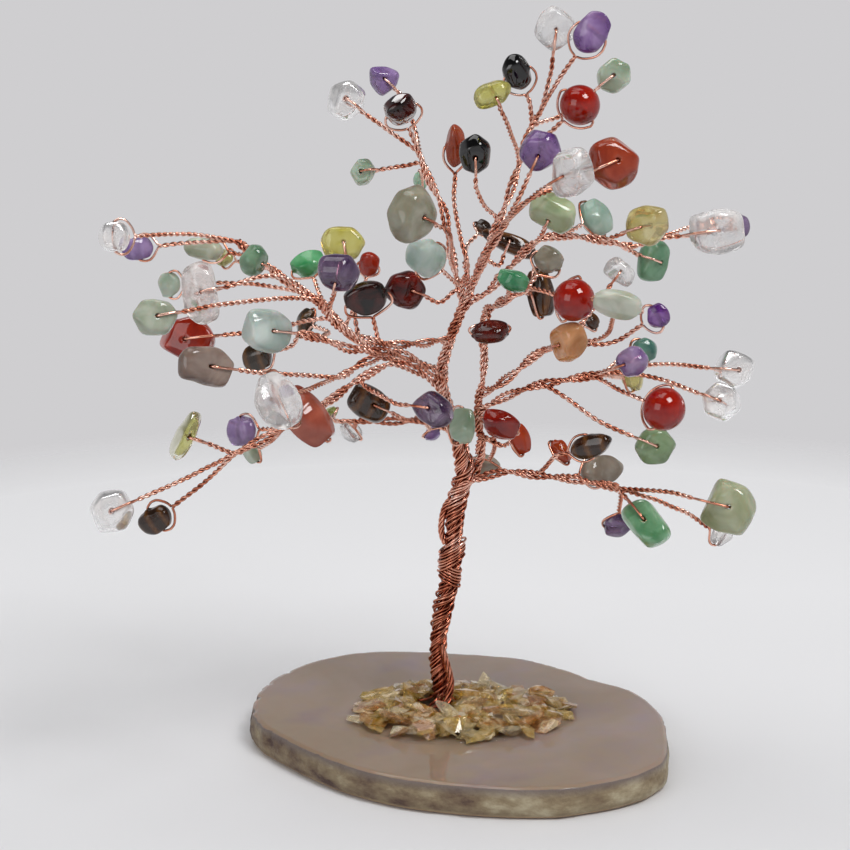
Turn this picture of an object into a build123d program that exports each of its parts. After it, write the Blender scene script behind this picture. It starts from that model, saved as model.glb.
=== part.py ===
from build123d import *
import os
from math import atan2, ceil, cos, degrees, hypot, pi, radians, sin

# Gemstone tree ornament: copper wire twisted into a trunk, stems and branches, a drilled
# stone in a loop at the end of each twig, glued by its foot to a slice of agate.
# Millimetres. Origin at the middle of the slice's underside, +Z up, -Y towards the viewer.

# The slice of agate
slab_width = 66.4
slab_depth = 62.4
slab_thickness = 5.0
slab_rim_lean = 0.6
slab_edge_break = 0.4

# The clear glue and the bed of citrine chips
glue_radius = 17.0
glue_shift_x = 0.4
glue_shift_y = -2.0
glue_thickness = 0.5
glue_edge_slope = 50.0
bed_seat = 0.05
shard_length = 4.4
shard_width = 2.9
shard_height = 1.7
shard_ring_gap = 4.6
shard_first_ring = 5.0
shard_layer_radius = 7.0
shard_layer_count = 8
shard_rings = 3
shard_side_gap = 1.3
shard_slope = 25.0
shard_wander = 0.2
shard_wander_step = 5
shard_layer_turn = 0.9
shard_layer_offset_share = 0.3
bed_shift = -2.2

# The wire and what is twisted from it
wire = 0.4
twig = 0.8
limb = 1.1
main_stem = 2.0
right_stem = 1.3
seat_gap = 0.1
loop_gap = 0.25
bore = 0.9
loop_tail = 0.6

# The trunk
foot_x = -2.7
foot_y = 4.5
trunk_core = 1.46
strand_count = 10
strand_gap = 0.26
trunk_pitch = 8.4
wrap_start = 0.4
wrap_pitch = 0.9
wrap_turns = 5
eyelet_bulge = 1.3
root_count = 5
root_reach = 3.2
root_height = 2.2

# The picture that the tree is traced from: a square of pixels, seen from above and in
# front. A place in it is (across, down, behind), all three in pixels, where behind counts
# back from the trunk's plane with the pixel's size at the trunk's foot.
pixel = 0.1596
camera_distance = 384.0
camera_pitch = 14.0
picture_middle_pixels = (425, 425)
foot_pixels = (443, 703)

# Sides of the round pieces, and straight runs per turn of the trunk's lay and wrap
wire_sides = 4
end_sides = 6
limb_sides = 6
trunk_sides = 8
ball_sides = 12
bore_sides = 6
steps_per_turn = 6
wrap_steps_per_turn = 16

slab_outline_shares = [
    (-0.51, 0.06), (-0.49, 0.24), (-0.40, 0.40), (-0.28, 0.49), (-0.16, 0.51), (0.00, 0.49),
    (0.16, 0.45), (0.26, 0.37), (0.35, 0.27), (0.44, 0.18), (0.49, 0.02), (0.49, -0.14),
    (0.47, -0.29), (0.40, -0.39), (0.30, -0.45), (0.21, -0.48), (0.10, -0.48), (-0.05, -0.45),
    (-0.19, -0.39), (-0.32, -0.28), (-0.42, -0.15), (-0.49, -0.04),
]

trunk_pixels = [
    (443, 703, 0), (438, 650, 0), (441, 618, 0), (450, 575, 0), (453, 545, 0),
    (456, 505, 0), (464, 470, 0), (459, 440, 0),
]
eyelet_low_pixels = (453, 540, 0)
eyelet_high_pixels = (457, 503, 0)
eyelet_shares = [(0, 0), (0.3, 0.25), (0.48, 1), (0.66, 1), (0.8, 0.3), (1, 0)]
root_shares = [(0, 1), (0.25, 0.55), (0.6, 0.1), (1, 0)]
main_stem_pixels = [
    (459, 438, 0), (447, 405, 3), (441, 378, 3), (447, 348, 3), (459, 316, 3), (470, 291, 3),
]
right_stem_pixels = [
    (476, 470, 8), (481, 445, -16), (477, 408, -28), (483, 380, -34), (484, 350, -32), (482, 326, -30),
]

# Each branch: the stem that carries it and its limbs, each a run of places
branch_pixels = {
    "branch_left_high": ("main", [
        [(442, 368, 8), (408, 362, 30), (372, 352, 38), (345, 330, 47), (325, 305, 47),
         (300, 292, 47), (275, 272, 47), (258, 258, 47), (238, 242, 47)],
    ]),
    "branch_left_front": ("main", [
        [(449, 340, 3), (400, 345, -59), (360, 338, -91), (330, 318, -109), (318, 300, -122)],
    ]),
    "branch_left_mid": ("main", [
        [(441, 378, -2), (400, 354, -41), (366, 362, -78), (340, 376, -103), (300, 375, -128),
         (262, 373, -153)],
        [(400, 354, -41), (375, 351, -78), (350, 349, -91), (325, 340, -103), (300, 334, -114)],
    ]),
    "branch_left_low": ("main", [
        [(442, 388, 6), (398, 364, -12), (360, 379, -28), (329, 401, -41), (285, 427, -53),
         (236, 453, -66)],
    ]),
    "branch_low_centre": ("main", [
        [(452, 430, 6), (425, 420, 22), (395, 421, 47), (360, 421, 59), (337, 421, 59)],
    ]),
    "branch_upper_left": ("main", [
        [(464, 302, 6), (457, 278, 25), (449, 240, 47), (443, 208, 53), (427, 175, 59),
         (419, 153, 59)],
    ]),
    "branch_crown_left": ("main", [
        [(466, 286, 6), (466, 262, -10), (460, 235, -8), (454, 200, 4), (455, 180, 10)],
    ]),
    "branch_crown": ("main", [
        [(473, 285, 5), (489, 243, 3), (503, 212, 3), (519, 165, 9), (531, 128, 16), (541, 110, 22)],
    ]),
    "branch_crown_right": ("main", [
        [(472, 283, -8), (480, 268, -28), (487, 253, -50), (506, 222, -91), (522, 204, -116)],
    ]),
    "branch_right_high": ("main", [
        [(470, 300, 0), (487, 292, -12), (510, 267, -25), (537, 241, -41), (560, 236, -41),
         (600, 240, -28), (632, 247, -20)],
    ]),
    "branch_right_mid": ("right", [
        [(482, 320, -30), (488, 309, -41), (505, 300, -78), (527, 287, -103)],
    ]),
    "branch_fan_upper": ("right", [
        [(480, 394, -30), (505, 380, -66), (540, 352, -91), (560, 345, -91)],
    ]),
    "branch_fan": ("right", [
        [(479, 410, -30), (500, 399, -41), (530, 387, -53), (560, 381, -59), (590, 376, -59),
         (611, 373, -59)],
    ]),
    "branch_right_low": ("trunk", [
        [(468, 482, -6), (504, 472, -12), (535, 475, -16), (565, 478, -28), (600, 484, -41),
         (618, 488, -41)],
    ]),
    "branch_low_right": ("right", [
        [(480, 436, -24), (492, 440, -38), (500, 446, -45)],
    ]),
}

# Outlines of the tumbled chips, as shares of half their length and half their width
outline_shares = {
    "pebble": [(1.0, 0.1), (0.45, 0.95), (-0.55, 0.9), (-1.0, 0.05), (-0.6, -0.9), (0.5, -1.0)],
    "wedge": [(1.0, -0.6), (0.75, 0.5), (-0.1, 1.0), (-1.0, 0.35), (-0.75, -0.9), (0.3, -1.0)],
    "drop": [(1.0, 0.0), (0.25, 0.7), (-0.6, 1.0), (-1.0, 0.2), (-0.7, -0.95), (0.3, -0.75)],
    "block": [(0.95, 0.75), (-0.1, 1.0), (-0.95, 0.8), (-0.9, -0.85), (0.2, -1.0), (1.0, -0.7)],
    "rod": [(1.0, 0.4), (0.7, 0.95), (-0.85, 0.9), (-1.0, -0.3), (-0.7, -0.95), (0.9, -0.85)],
    "fang": [(1.0, 0.25), (0.1, 1.0), (-0.9, 0.7), (-1.0, -0.8), (0.1, -0.7)],
}

# The stones. Each row: number, stone, branch, limb and place along it where the twig leaves,
# places that the twig passes, centre of the stone, length along the twig, width across it,
# its third size as a share of the width, outline, roll about the bore, turn of the bore
# about the twig, and how far the stone swings either way on its loop (0 fixed, 180 free).
stone_pixels_and_shares = [
    (1, "quartz", "branch_left_high", 0, 8.0, [(185, 234, 40)],
     (114, 237, 20), 36, 30, 0.8, "pebble", 20, 0, 30),
    (2, "amethyst", "branch_left_high", 0, 8.0, [(190, 243, 62)],
     (138, 248, 66), 38, 24, 0.8, "drop", 160, 0, 0),
    (3, "jade", "branch_left_high", 0, 7.0, [(238, 254, 80)],
     (204, 249, 88), 45, 22, 1.1, "wedge", 0, 0, 0),
    (4, "peridot", "branch_left_high", 0, 6.0, [(255, 265, 95)],
     (224, 258, 122), 25, 17, 0.8, "pebble", 0, 0, 0),
    (5, "aventurine", "branch_left_high", 0, 6.0, [], (254, 260, -2), 36, 35, 0.6, "pebble", 40, 90, 0),
    (6, "jade", "branch_left_high", 0, 5.0, [(240, 283, 80)],
     (169, 285, 100), 30, 25, 0.7, "wedge", 30, 0, 0),
    (7, "jade", "branch_left_front", 0, 4.0, [(260, 300, -160), (218, 305, -182)],
     (155, 317, -205), 50, 40, 0.6, "pebble", 10, 90, 0),
    (8, "quartz", "branch_left_front", 0, 4.0, [(275, 276, -135)],
     (200, 293, -150), 40, 68, 0.5, "block", 5, 90, 0),
    (9, "carnelian", "branch_left_front", 0, 3.0, [(290, 325, -90), (250, 332, -70)],
     (188, 339, -60), 63, 52, 0.5, "wedge", 15, 90, 20),
    (10, "agate", "branch_left_mid", 0, 5.0, [], (207, 366, -185), 67, 43, 0.6, "rod", 0, 90, 0),
    (11, "amazonite", "branch_left_mid", 1, 4.0, [], (268, 331, -134), 57, 46, 0.5, "block", 10, 90, 0),
    (12, "tiger_eye", "branch_left_mid", 1, 3.0, [(328, 332, -60)],
     (305, 322, -20), 24, 28, 0.7, "block", 10, 0, 0),
    (13, "tiger_eye", "branch_left_mid", 1, 4.0, [(292, 345, -110)],
     (257, 357, -98), 35, 27, 0.7, "rod", 0, 0, 0),
    (14, "quartz", "branch_left_mid", 0, 3.0, [], (278, 401, -215), 68, 59, 0.55, "wedge", 20, 0, 0),
    (15, "carnelian", "branch_left_low", 0, 3.0, [], (306, 416, -115), 45, 65, 0.6, "block", 10, 0, 0),
    (16, "peridot", "branch_left_low", 0, 5.0, [], (186, 436, -80), 24, 59, 0.5, "rod", 10, 90, 15),
    (17, "amethyst", "branch_left_low", 0, 4.0, [], (241, 431, -15), 45, 30, 0.7, "pebble", 0, 0, 0),
    (18, "jade", "branch_left_low", 0, 4.0, [(272, 440, 0)],
     (252, 453, 38), 27, 21, 0.8, "pebble", 0, 0, 0),
    (19, "quartz", "branch_left_low", 0, 5.0, [(180, 481, -75)],
     (112, 511, -90), 47, 47, 0.7, "pebble", 25, 90, 30),
    (20, "tiger_eye", "branch_left_low", 0, 5.0, [(205, 482, -50)],
     (155, 520, -40), 39, 27, 0.7, "block", 0, 0, 20),
    (21, "aventurine", "branch_left_high", 0, 4.0, [], (308, 264, 92), 32, 35, 0.7, "pebble", 0, 0, 0),
    (22, "amethyst", "branch_left_front", 0, 3.0, [], (339, 271, -170), 46, 46, 0.7, "pebble", 0, 90, 0),
    (23, "peridot", "branch_left_front", 0, 2.0, [(352, 290, -72)],
     (344, 243, -60), 39, 48, 0.5, "wedge", 0, 90, 0),
    (24, "carnelian", "branch_left_high", 0, 3.0, [(362, 295, 38)],
     (369, 264, 25), 27, 20, 0.8, "block", 0, 0, 0),
    (25, "garnet", "branch_left_front", 0, 1.5, [], (367, 299, -95), 37, 45, 0.6, "block", 10, 0, 0),
    (26, "garnet", "branch_upper_left", 0, 0.5, [(440, 302, 5)],
     (405, 289, -20), 47, 42, 0.6, "wedge", 0, 90, 0),
    (27, "jade", "branch_upper_left", 0, 1.0, [(452, 262, -5), (448, 232, -80)],
     (412, 214, -125), 59, 66, 0.5, "pebble", 30, 90, 0),
    (28, "amazonite", "branch_crown_left", 0, 0.5, [(458, 284, -38)],
     (426, 257, -80), 59, 36, 0.7, "rod", 0, 0, 0),
    (29, "peridot", "branch_low_centre", 0, 4.0, [], (331, 413, 100), 20, 14, 0.8, "pebble", 0, 0, 0),
    (30, "tiger_eye", "branch_low_centre", 0, 1.6, [], (369, 403, 14), 52, 36, 0.6, "block", 5, 90, 0),
    (31, "quartz", "branch_low_centre", 0, 3.0, [], (351, 431, 104), 30, 24, 0.8, "pebble", 0, 0, 0),
    (32, "amethyst", "branch_left_low", 0, 2.0, [(394, 403, -62)],
     (434, 409, -84), 46, 38, 0.7, "block", 40, 90, 0),
    (33, "jade", "branch_low_centre", 0, 0.8, [(440, 425, -24)],
     (463, 426, -40), 34, 36, 0.5, "wedge", 0, 0, 0),
    (34, "amethyst", "branch_low_centre", 0, 1.0, [], (432, 434, 66), 24, 16, 0.8, "pebble", 0, 0, 0),
    (35, "quartz", "branch_upper_left", 0, 5.0, [(385, 128, 65)],
     (346, 100, 70), 42, 43, 0.7, "pebble", 0, 90, 25),
    (36, "amethyst", "branch_upper_left", 0, 4.6, [(416, 132, 95), (402, 96, 100)],
     (382, 78, 95), 34, 34, 0.7, "drop", 0, 90, 0),
    (37, "garnet", "branch_upper_left", 0, 5.0, [], (401, 110, 45), 37, 33, 0.8, "pebble", 0, 0, 30),
    (38, "jade", "branch_upper_left", 0, 4.5, [(405, 166, 68)],
     (363, 172, 75), 28, 29, 0.8, "pebble", 0, 90, 30),
    (39, "jade", "branch_upper_left", 0, 4.0, [], (420, 181, 104), 24, 18, 0.8, "pebble", 0, 0, 0),
    (40, "carnelian", "branch_crown_left", 0, 4.0, [], (455, 146, 10), 47, 20, 1.0, "rod", 0, 0, 0),
    (41, "onyx", "branch_crown", 0, 1.7, [(485, 207, -10), (476, 188, -24)],
     (475, 154, -32), 45, 34, 0.7, "pebble", 0, 90, 0),
    (42, "onyx", "branch_crown", 0, 4.0, [(530, 104, 5)], (517, 72, 0), 43, 28, 0.8, "pebble", 0, 0, 25),
    (43, "peridot", "branch_crown", 0, 3.0, [(508, 127, -30)],
     (493, 93, -50), 27, 45, 0.5, "wedge", 0, 90, 15),
    (44, "quartz", "branch_crown", 0, 5.0, [(551, 72, 25)],
     (556, 29, 25), 47, 45, 0.6, "wedge", 20, 90, 20),
    (45, "amethyst", "branch_crown", 0, 4.5, [(560, 78, -8)],
     (593, 31, -20), 56, 32, 0.7, "drop", 0, 0, 25),
    (46, "jade", "branch_crown", 0, 4.0, [(562, 115, 45), (590, 94, 52)],
     (614, 76, 52), 40, 34, 0.6, "pebble", 0, 90, 30),
    (47, "carnelian", "branch_crown", 0, 3.5, [(548, 134, 8)],
     (580, 105, -4), 41, 41, 1.0, "round", 0, 0, 180),
    (48, "amethyst", "branch_crown_right", 0, 2.0, [(515, 205, -95)],
     (541, 150, -120), 50, 43, 0.7, "pebble", 0, 90, 0),
    (49, "quartz", "branch_crown_right", 0, 3.0, [(538, 192, -140)],
     (571, 173, -170), 57, 49, 0.6, "block", 0, 90, 0),
    (50, "carnelian", "branch_crown_right", 0, 4.0, [(565, 184, -85)],
     (614, 163, -70), 56, 57, 0.6, "pebble", 0, 90, 0),
    (51, "jade", "branch_right_high", 0, 3.0, [], (553, 212, -82), 42, 52, 0.5, "block", 0, 90, 0),
    (52, "amazonite", "branch_right_high", 0, 4.0, [], (596, 218, 15), 44, 38, 0.7, "pebble", 0, 0, 0),
    (53, "peridot", "branch_right_high", 0, 5.0, [], (648, 226, -64), 53, 44, 0.6, "wedge", 0, 90, 20),
    (54, "quartz", "branch_right_high", 0, 6.0, [(665, 238, -8)],
     (716, 232, 0), 60, 49, 0.7, "block", 0, 90, 20),
    (55, "amethyst", "branch_right_high", 0, 6.0, [(688, 228, 50)],
     (738, 227, 68), 32, 27, 0.7, "drop", 0, 0, 0),
    (56, "aventurine", "branch_right_high", 0, 5.5, [(628, 250, 14)],
     (653, 261, 40), 35, 47, 0.5, "block", 0, 90, 0),
    (57, "tiger_eye", "branch_crown", 0, 0.6, [(499, 266, 14)],
     (509, 243, 27), 21, 66, 0.3, "rod", 0, 90, 0),
    (58, "tiger_eye", "branch_crown_left", 0, 1.0, [(467, 246, 30)],
     (484, 228, 58), 18, 18, 0.8, "pebble", 0, 0, 0),
    (59, "agate", "branch_right_mid", 0, 3.0, [], (549, 260, -92), 31, 29, 0.8, "pebble", 0, 0, 0),
    (60, "tiger_eye", "branch_right_mid", 0, 2.5, [], (541, 293, -58), 29, 48, 0.6, "block", 0, 0, 0),
    (61, "carnelian", "branch_right_mid", 0, 3.0, [], (574, 300, -155), 43, 43, 1.0, "round", 0, 0, 180),
    (62, "aventurine", "branch_right_mid", 0, 2.0, [], (513, 280, -126), 28, 32, 0.7, "pebble", 0, 0, 0),
    (63, "amazonite", "branch_fan_upper", 0, 3.0, [(602, 338, -110)],
     (618, 303, -190), 34, 50, 0.6, "fang", 0, 0, 0),
    (64, "quartz", "branch_fan_upper", 0, 3.0, [(596, 305, -68)],
     (620, 272, -62), 24, 35, 0.6, "block", 0, 90, 0),
    (65, "amethyst", "branch_fan_upper", 0, 3.0, [(612, 342, -85)],
     (658, 316, -100), 30, 24, 0.7, "drop", 0, 0, 25),
    (66, "agate", "branch_fan_upper", 0, 2.0, [], (569, 342, -146), 54, 41, 0.6, "block", 0, 90, 0),
    (67, "tiger_eye", "branch_fan_upper", 0, 2.7, [], (592, 321, -48), 17, 17, 0.8, "pebble", 0, 0, 0),
    (68, "garnet", "branch_right_mid", 0, 1.0, [], (490, 333, -72), 29, 38, 0.6, "wedge", 0, 0, 0),
    (69, "amethyst", "branch_fan", 0, 4.0, [], (632, 362, -112), 43, 32, 0.7, "pebble", 0, 90, 0),
    (70, "aventurine", "branch_fan", 0, 4.5, [(618, 361, -35)],
     (645, 350, -24), 30, 24, 0.8, "pebble", 0, 0, 0),
    (71, "peridot", "branch_fan", 0, 4.2, [], (635, 379, 4), 40, 24, 0.8, "drop", 0, 0, 0),
    (72, "quartz", "branch_fan", 0, 5.0, [(660, 364, -45)],
     (734, 370, -28), 44, 42, 0.7, "wedge", 0, 90, 20),
    (73, "carnelian", "branch_fan", 0, 4.0, [(622, 391, -90)],
     (664, 409, -122), 44, 44, 1.0, "round", 0, 0, 180),
    (74, "aventurine", "branch_fan", 0, 2.4, [(600, 422, -70)],
     (655, 446, -70), 42, 42, 0.6, "pebble", 30, 90, 25),
    (75, "carnelian", "branch_low_right", 0, 1.0, [], (500, 424, -84), 37, 39, 0.7, "block", 0, 0, 0),
    (76, "carnelian", "branch_low_right", 0, 2.0, [], (519, 439, -18), 26, 31, 0.7, "pebble", 0, 0, 0),
    (77, "tiger_eye", "branch_right_low", 0, 2.0, [(556, 456, -42)],
     (591, 446, -60), 49, 24, 1.0, "rod", 0, 0, 0),
    (78, "carnelian", "branch_right_low", 0, 2.0, [], (561, 451, 28), 22, 26, 0.7, "pebble", 0, 0, 0),
    (79, "agate", "branch_right_low", 0, 3.0, [], (602, 470, 4), 56, 30, 0.8, "rod", 0, 0, 0),
    (80, "amethyst", "branch_right_low", 0, 5.0, [], (619, 525, 4), 39, 30, 0.7, "pebble", 0, 0, 0),
    (81, "aventurine", "branch_right_low", 0, 5.0, [], (646, 523, -76), 64, 36, 0.6, "rod", 0, 90, 20),
    (82, "jade", "branch_right_low", 0, 5.0, [(672, 493, -60)],
     (729, 507, -72), 56, 56, 0.6, "block", 10, 90, 20),
    (83, "quartz", "branch_right_low", 0, 5.0, [(680, 510, -20)],
     (722, 536, 0), 27, 22, 0.8, "pebble", 0, 0, 0),
    (84, "agate", "branch_low_right", 0, 1.0, [(494, 450, 2)],
     (486, 466, 44), 29, 28, 0.8, "pebble", 0, 0, 0),
    (85, "quartz", "branch_fan", 0, 5.0, [(660, 379, -70)],
     (722, 402, -96), 44, 40, 0.7, "pebble", 0, 90, 0),
]

chip_bevel_share = 0.36
ball_band_angles = (0, 25, 55)

os.makedirs("parts", exist_ok=True)

# The picture's view: where it is seen from, and its directions
look = Vector(0, cos(radians(camera_pitch)), -sin(radians(camera_pitch)))
rise = Vector(0, sin(radians(camera_pitch)), cos(radians(camera_pitch)))
across = Vector(1, 0, 0)
focus = camera_distance / pixel


def sight(px, py):
    middle_x, middle_y = picture_middle_pixels
    return look + across * ((px - middle_x) / focus) - rise * ((py - middle_y) / focus)


foot = Vector(foot_x, foot_y, slab_thickness + glue_thickness)
camera = foot - sight(*foot_pixels) * camera_distance


def place(px, py, behind):
    """The point seen at a pixel, as far behind the trunk's plane as it says."""
    line = sight(px, py)
    return camera + line * ((foot_y + behind * pixel - camera.Y) / line.Y)


def size_at(point, pixels):
    """What a length of the picture measures at a point."""
    return pixels * (point - camera).dot(look) / focus


def along(points, where):
    """The point at a place such as 2.4, which is 0.4 of the way from point 2 to point 3."""
    index = min(int(where), len(points) - 2)
    return points[index] + (points[index + 1] - points[index]) * (where - index)


def tube(points, diameter, sides=wire_sides):
    """A wire or twist along straight runs, mitred at its bends."""
    with BuildPart() as run:
        with BuildLine() as line:
            Polyline(*points)
        with BuildSketch(Plane(origin=points[0], z_dir=points[1] - points[0])):
            RegularPolygon(diameter / 2, sides)
        sweep(path=line.line, transition=Transition.RIGHT)
    return run.part


class Stone:
    """Where a stone sits at the end of its twig, and the loop of wire through it."""

    def __init__(self, row, limbs):
        self.number, self.kind, self.branch, limb_number, leaves, passes, centre = row[:7]
        length, width, third_share, self.outline, self.roll, turn, self.swing = row[7:]
        self.centre = place(*centre)
        self.start = [along(limbs[limb_number], leaves)]
        self.start += [place(*point) for point in passes]
        self.out = (self.centre - self.start[-1]).normalized()
        side = self.out.cross(look).normalized()
        face = side.cross(self.out)
        self.bore = side * cos(radians(turn)) + face * sin(radians(turn))
        third = width * third_share
        self.length = size_at(self.centre, length)
        self.thickness = size_at(self.centre, third if turn else width)
        self.width = size_at(self.centre, width if turn else third)
        self.bevel = chip_bevel_share * min(self.length, self.width, self.thickness) / 2

    def corners(self):
        """The outline's corners, out along the twig and across it."""
        turned = []
        for out_share, side_share in outline_shares[self.outline]:
            x = out_share * self.length / 2
            y = side_share * self.width / 2
            c, s = cos(radians(self.roll)), sin(radians(self.roll))
            turned.append((x * c - y * s, x * s + y * c))
        return turned

    def reach(self):
        """How far the stone comes back towards its twig, over its whole swing."""
        if self.outline == "round":
            return self.length / 2
        reaches = []
        for x, y in self.corners():
            off = abs(degrees(atan2(y, -x)))
            reaches.append(hypot(x, y) * cos(radians(max(0, off - self.swing))))
        return max(reaches)

    def twig_end(self):
        return self.centre - self.out * (self.reach() + wire / 2 + loop_gap)

    def loop(self):
        """The single wire from the twig's end through the bore and back."""
        clear = wire / 2 + loop_gap
        half = self.thickness / 2 + clear
        shoulder = self.out * (self.reach() - self.bevel + clear)
        end = self.twig_end()
        return [
            end - self.out * (loop_tail / 2),
            self.centre - self.bore * half - shoulder,
            self.centre - self.bore * half,
            self.centre + self.bore * half,
            self.centre + self.bore * half - shoulder,
            end - self.out * loop_tail,
        ]

    def solid(self):
        """The stone: a drilled ball, or a tumbled chip drawn in towards its drilled faces."""
        with BuildSketch() as outline:
            if self.outline == "round":
                RegularPolygon(self.length / 2, ball_sides)
            else:
                Polygon(*self.corners(), align=None)
        with BuildSketch() as hole:
            RegularPolygon(bore / 2, bore_sides)
        with BuildPart() as stone:
            face = outline.sketch
            for height, inset in self.bands():
                extrude(face, amount=height, taper=degrees(atan2(inset, height)))
                face = stone.faces().sort_by(Axis.Z)[-1]
            mirror(about=Plane.XY)
            extrude(hole.sketch, amount=self.thickness, both=True, mode=Mode.SUBTRACT)
        return Plane(origin=self.centre, x_dir=self.out, z_dir=self.bore).location * stone.part

    def bands(self):
        """The height and inset of each band from the stone's middle to its drilled face."""
        if self.outline != "round":
            return [(self.thickness / 2, self.bevel)]
        radius = self.length / 2
        turns = [radians(angle) for angle in ball_band_angles]
        return [
            (radius * (sin(high) - sin(low)), radius * (cos(low) - cos(high)))
            for low, high in zip(turns, turns[1:])
        ]


def slab_outline(height, inset):
    """The slice's uneven oval at a height, drawn in all round."""
    with BuildSketch(Plane.XY.offset(height)) as outline:
        with BuildLine():
            Spline(
                *[
                    (x * (slab_width - 2 * inset), y * (slab_depth - 2 * inset))
                    for x, y in slab_outline_shares
                ],
                periodic=True,
            )
        make_face()
    return outline.sketch


# The slice of agate: an uneven oval whose rough rim leans out towards its foot
slab_rim_top = slab_thickness - slab_edge_break
with BuildPart() as agate_slab:
    loft(
        [
            slab_outline(0, 0),
            slab_outline(slab_rim_top, slab_rim_lean),
            slab_outline(slab_thickness, slab_rim_lean + slab_edge_break),
        ],
        ruled=True,
    )
agate_slab.part.label = "agate_slab"
export_step(agate_slab.part, "parts/agate_slab.step")

# The puddle of clear glue, with a thin feathered edge
with BuildPart() as glue_bed:
    with BuildSketch(Plane((foot_x + glue_shift_x, foot_y + glue_shift_y, slab_thickness))):
        Circle(glue_radius)
    extrude(amount=glue_thickness, taper=glue_edge_slope)
glue_bed.part.label = "glue_bed"
export_step(glue_bed.part, "parts/glue_bed.step")


# The bed: citrine chips in rings about the trunk's foot, then a few on top of them
def bed_shard(radius, shift, angle, turn, level):
    """A chip that lies on its flat."""
    middle = Plane(
        (foot_x + radius * cos(angle), foot_y + shift + radius * sin(angle), level),
        x_dir=(cos(turn), sin(turn), 0),
    )
    length, width = shard_length / 2, shard_width / 2
    with BuildPart() as shard:
        with BuildSketch(middle):
            Polygon(
                (length, 0), (length / 3, width), (-length, width / 2), (-length, -width / 2),
                (length / 3, -width), align=None,
            )
        extrude(amount=shard_height, taper=shard_slope)
    return shard.part


bed_level = slab_thickness + glue_thickness + bed_seat
shards = []
for ring in range(shard_rings):
    radius = shard_first_ring + ring * shard_ring_gap
    shift = bed_shift * ring / shard_rings
    count = int(2 * pi * radius / (shard_length + shard_side_gap))
    for number in range(count):
        angle = 2 * pi * (number + ring / 2) / count
        turn = angle + pi / 2 + shard_wander * sin(shard_wander_step * number + ring)
        shards.append(bed_shard(radius, shift, angle, turn, bed_level))
for number in range(shard_layer_count):
    angle = 2 * pi * (number + shard_layer_offset_share) / shard_layer_count
    turn = angle + shard_layer_turn * number
    level = bed_level + shard_height + bed_seat
    shards.append(bed_shard(shard_layer_radius, 0, angle, turn, level))
with BuildPart() as citrine_chips:
    add(shards)
citrine_chips.part.label = "citrine_chips"
export_step(citrine_chips.part, "parts/citrine_chips.step")

# The trunk: a core of straight wires, with the outer wires laid round it
trunk_run = [place(*point) for point in trunk_pixels]
trunk_run[0] += Vector(0, 0, wire / 2)
trunk_outer = trunk_core / 2 + strand_gap + wire
lay_radius = trunk_core / 2 + strand_gap + wire / 2

with BuildPart() as core:
    add(tube(trunk_run, trunk_core, trunk_sides))
core.part.label = "trunk_core"
export_step(core.part, "parts/trunk_core.step")


def trunk_at(height):
    """The middle of the trunk at a height."""
    for lower, upper in zip(trunk_run, trunk_run[1:]):
        if height <= upper.Z:
            break
    return lower + (upper - lower) * ((height - lower.Z) / (upper.Z - lower.Z))


strands = []
lay_bottom = trunk_run[0].Z
lay_top = trunk_run[-1].Z
lay_steps = ceil((lay_top - lay_bottom) / trunk_pitch * steps_per_turn)
for number in range(strand_count):
    points = []
    for step in range(lay_steps + 1):
        height = lay_bottom + (lay_top - lay_bottom) * step / lay_steps
        angle = 2 * pi * (number / strand_count + (height - lay_bottom) / trunk_pitch)
        points.append(trunk_at(height) + Vector(cos(angle), sin(angle), 0) * lay_radius)
    strands.append(tube(points, wire))
with BuildPart() as trunk_strands:
    add(strands)
trunk_strands.part.label = "trunk_strands"
export_step(trunk_strands.part, "parts/trunk_strands.step")


# The wrap: one wire wound round the trunk at its waist
wrap_low = place(*trunk_pixels[3])
wrap_high = place(*trunk_pixels[4])
wrap_axis = (wrap_high - wrap_low).normalized()
wrap_side = wrap_axis.cross(look).normalized()
wrap_front = wrap_axis.cross(wrap_side)
wrap_radius = trunk_outer + seat_gap + wire / 2
wrap_run = []
for step in range(wrap_turns * wrap_steps_per_turn + 1):
    turns = step / wrap_steps_per_turn
    out = wrap_side * cos(2 * pi * turns) + wrap_front * sin(2 * pi * turns)
    wrap_run.append(wrap_low + out * wrap_radius + wrap_axis * (wrap_start + wrap_pitch * turns))
with BuildPart() as trunk_wrap:
    add(tube(wrap_run, wire))
trunk_wrap.part.label = "trunk_wrap"
export_step(trunk_wrap.part, "parts/trunk_wrap.step")

# Its least gap to itself, between points that lie half a turn or more apart
wrap_gap = min(
    (later - earlier).length - wire
    for index, earlier in enumerate(wrap_run)
    for later in wrap_run[index + wrap_steps_per_turn // 2:]
)
print(f"the wrap's least gap to itself is {wrap_gap:.2f} mm")

# The eyelet: one wire that stands off the trunk's left side above the wrap
eyelet_low = place(*eyelet_low_pixels)
eyelet_high = place(*eyelet_high_pixels)
eyelet_run = []
for height_share, out_share in eyelet_shares:
    point = eyelet_low + (eyelet_high - eyelet_low) * height_share
    eyelet_run.append(point - across * (trunk_outer + seat_gap + wire / 2 + eyelet_bulge * out_share))
with BuildPart() as trunk_eyelet:
    add(tube(eyelet_run, wire, end_sides))
trunk_eyelet.part.label = "trunk_eyelet"
export_step(trunk_eyelet.part, "parts/trunk_eyelet.step")

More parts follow.
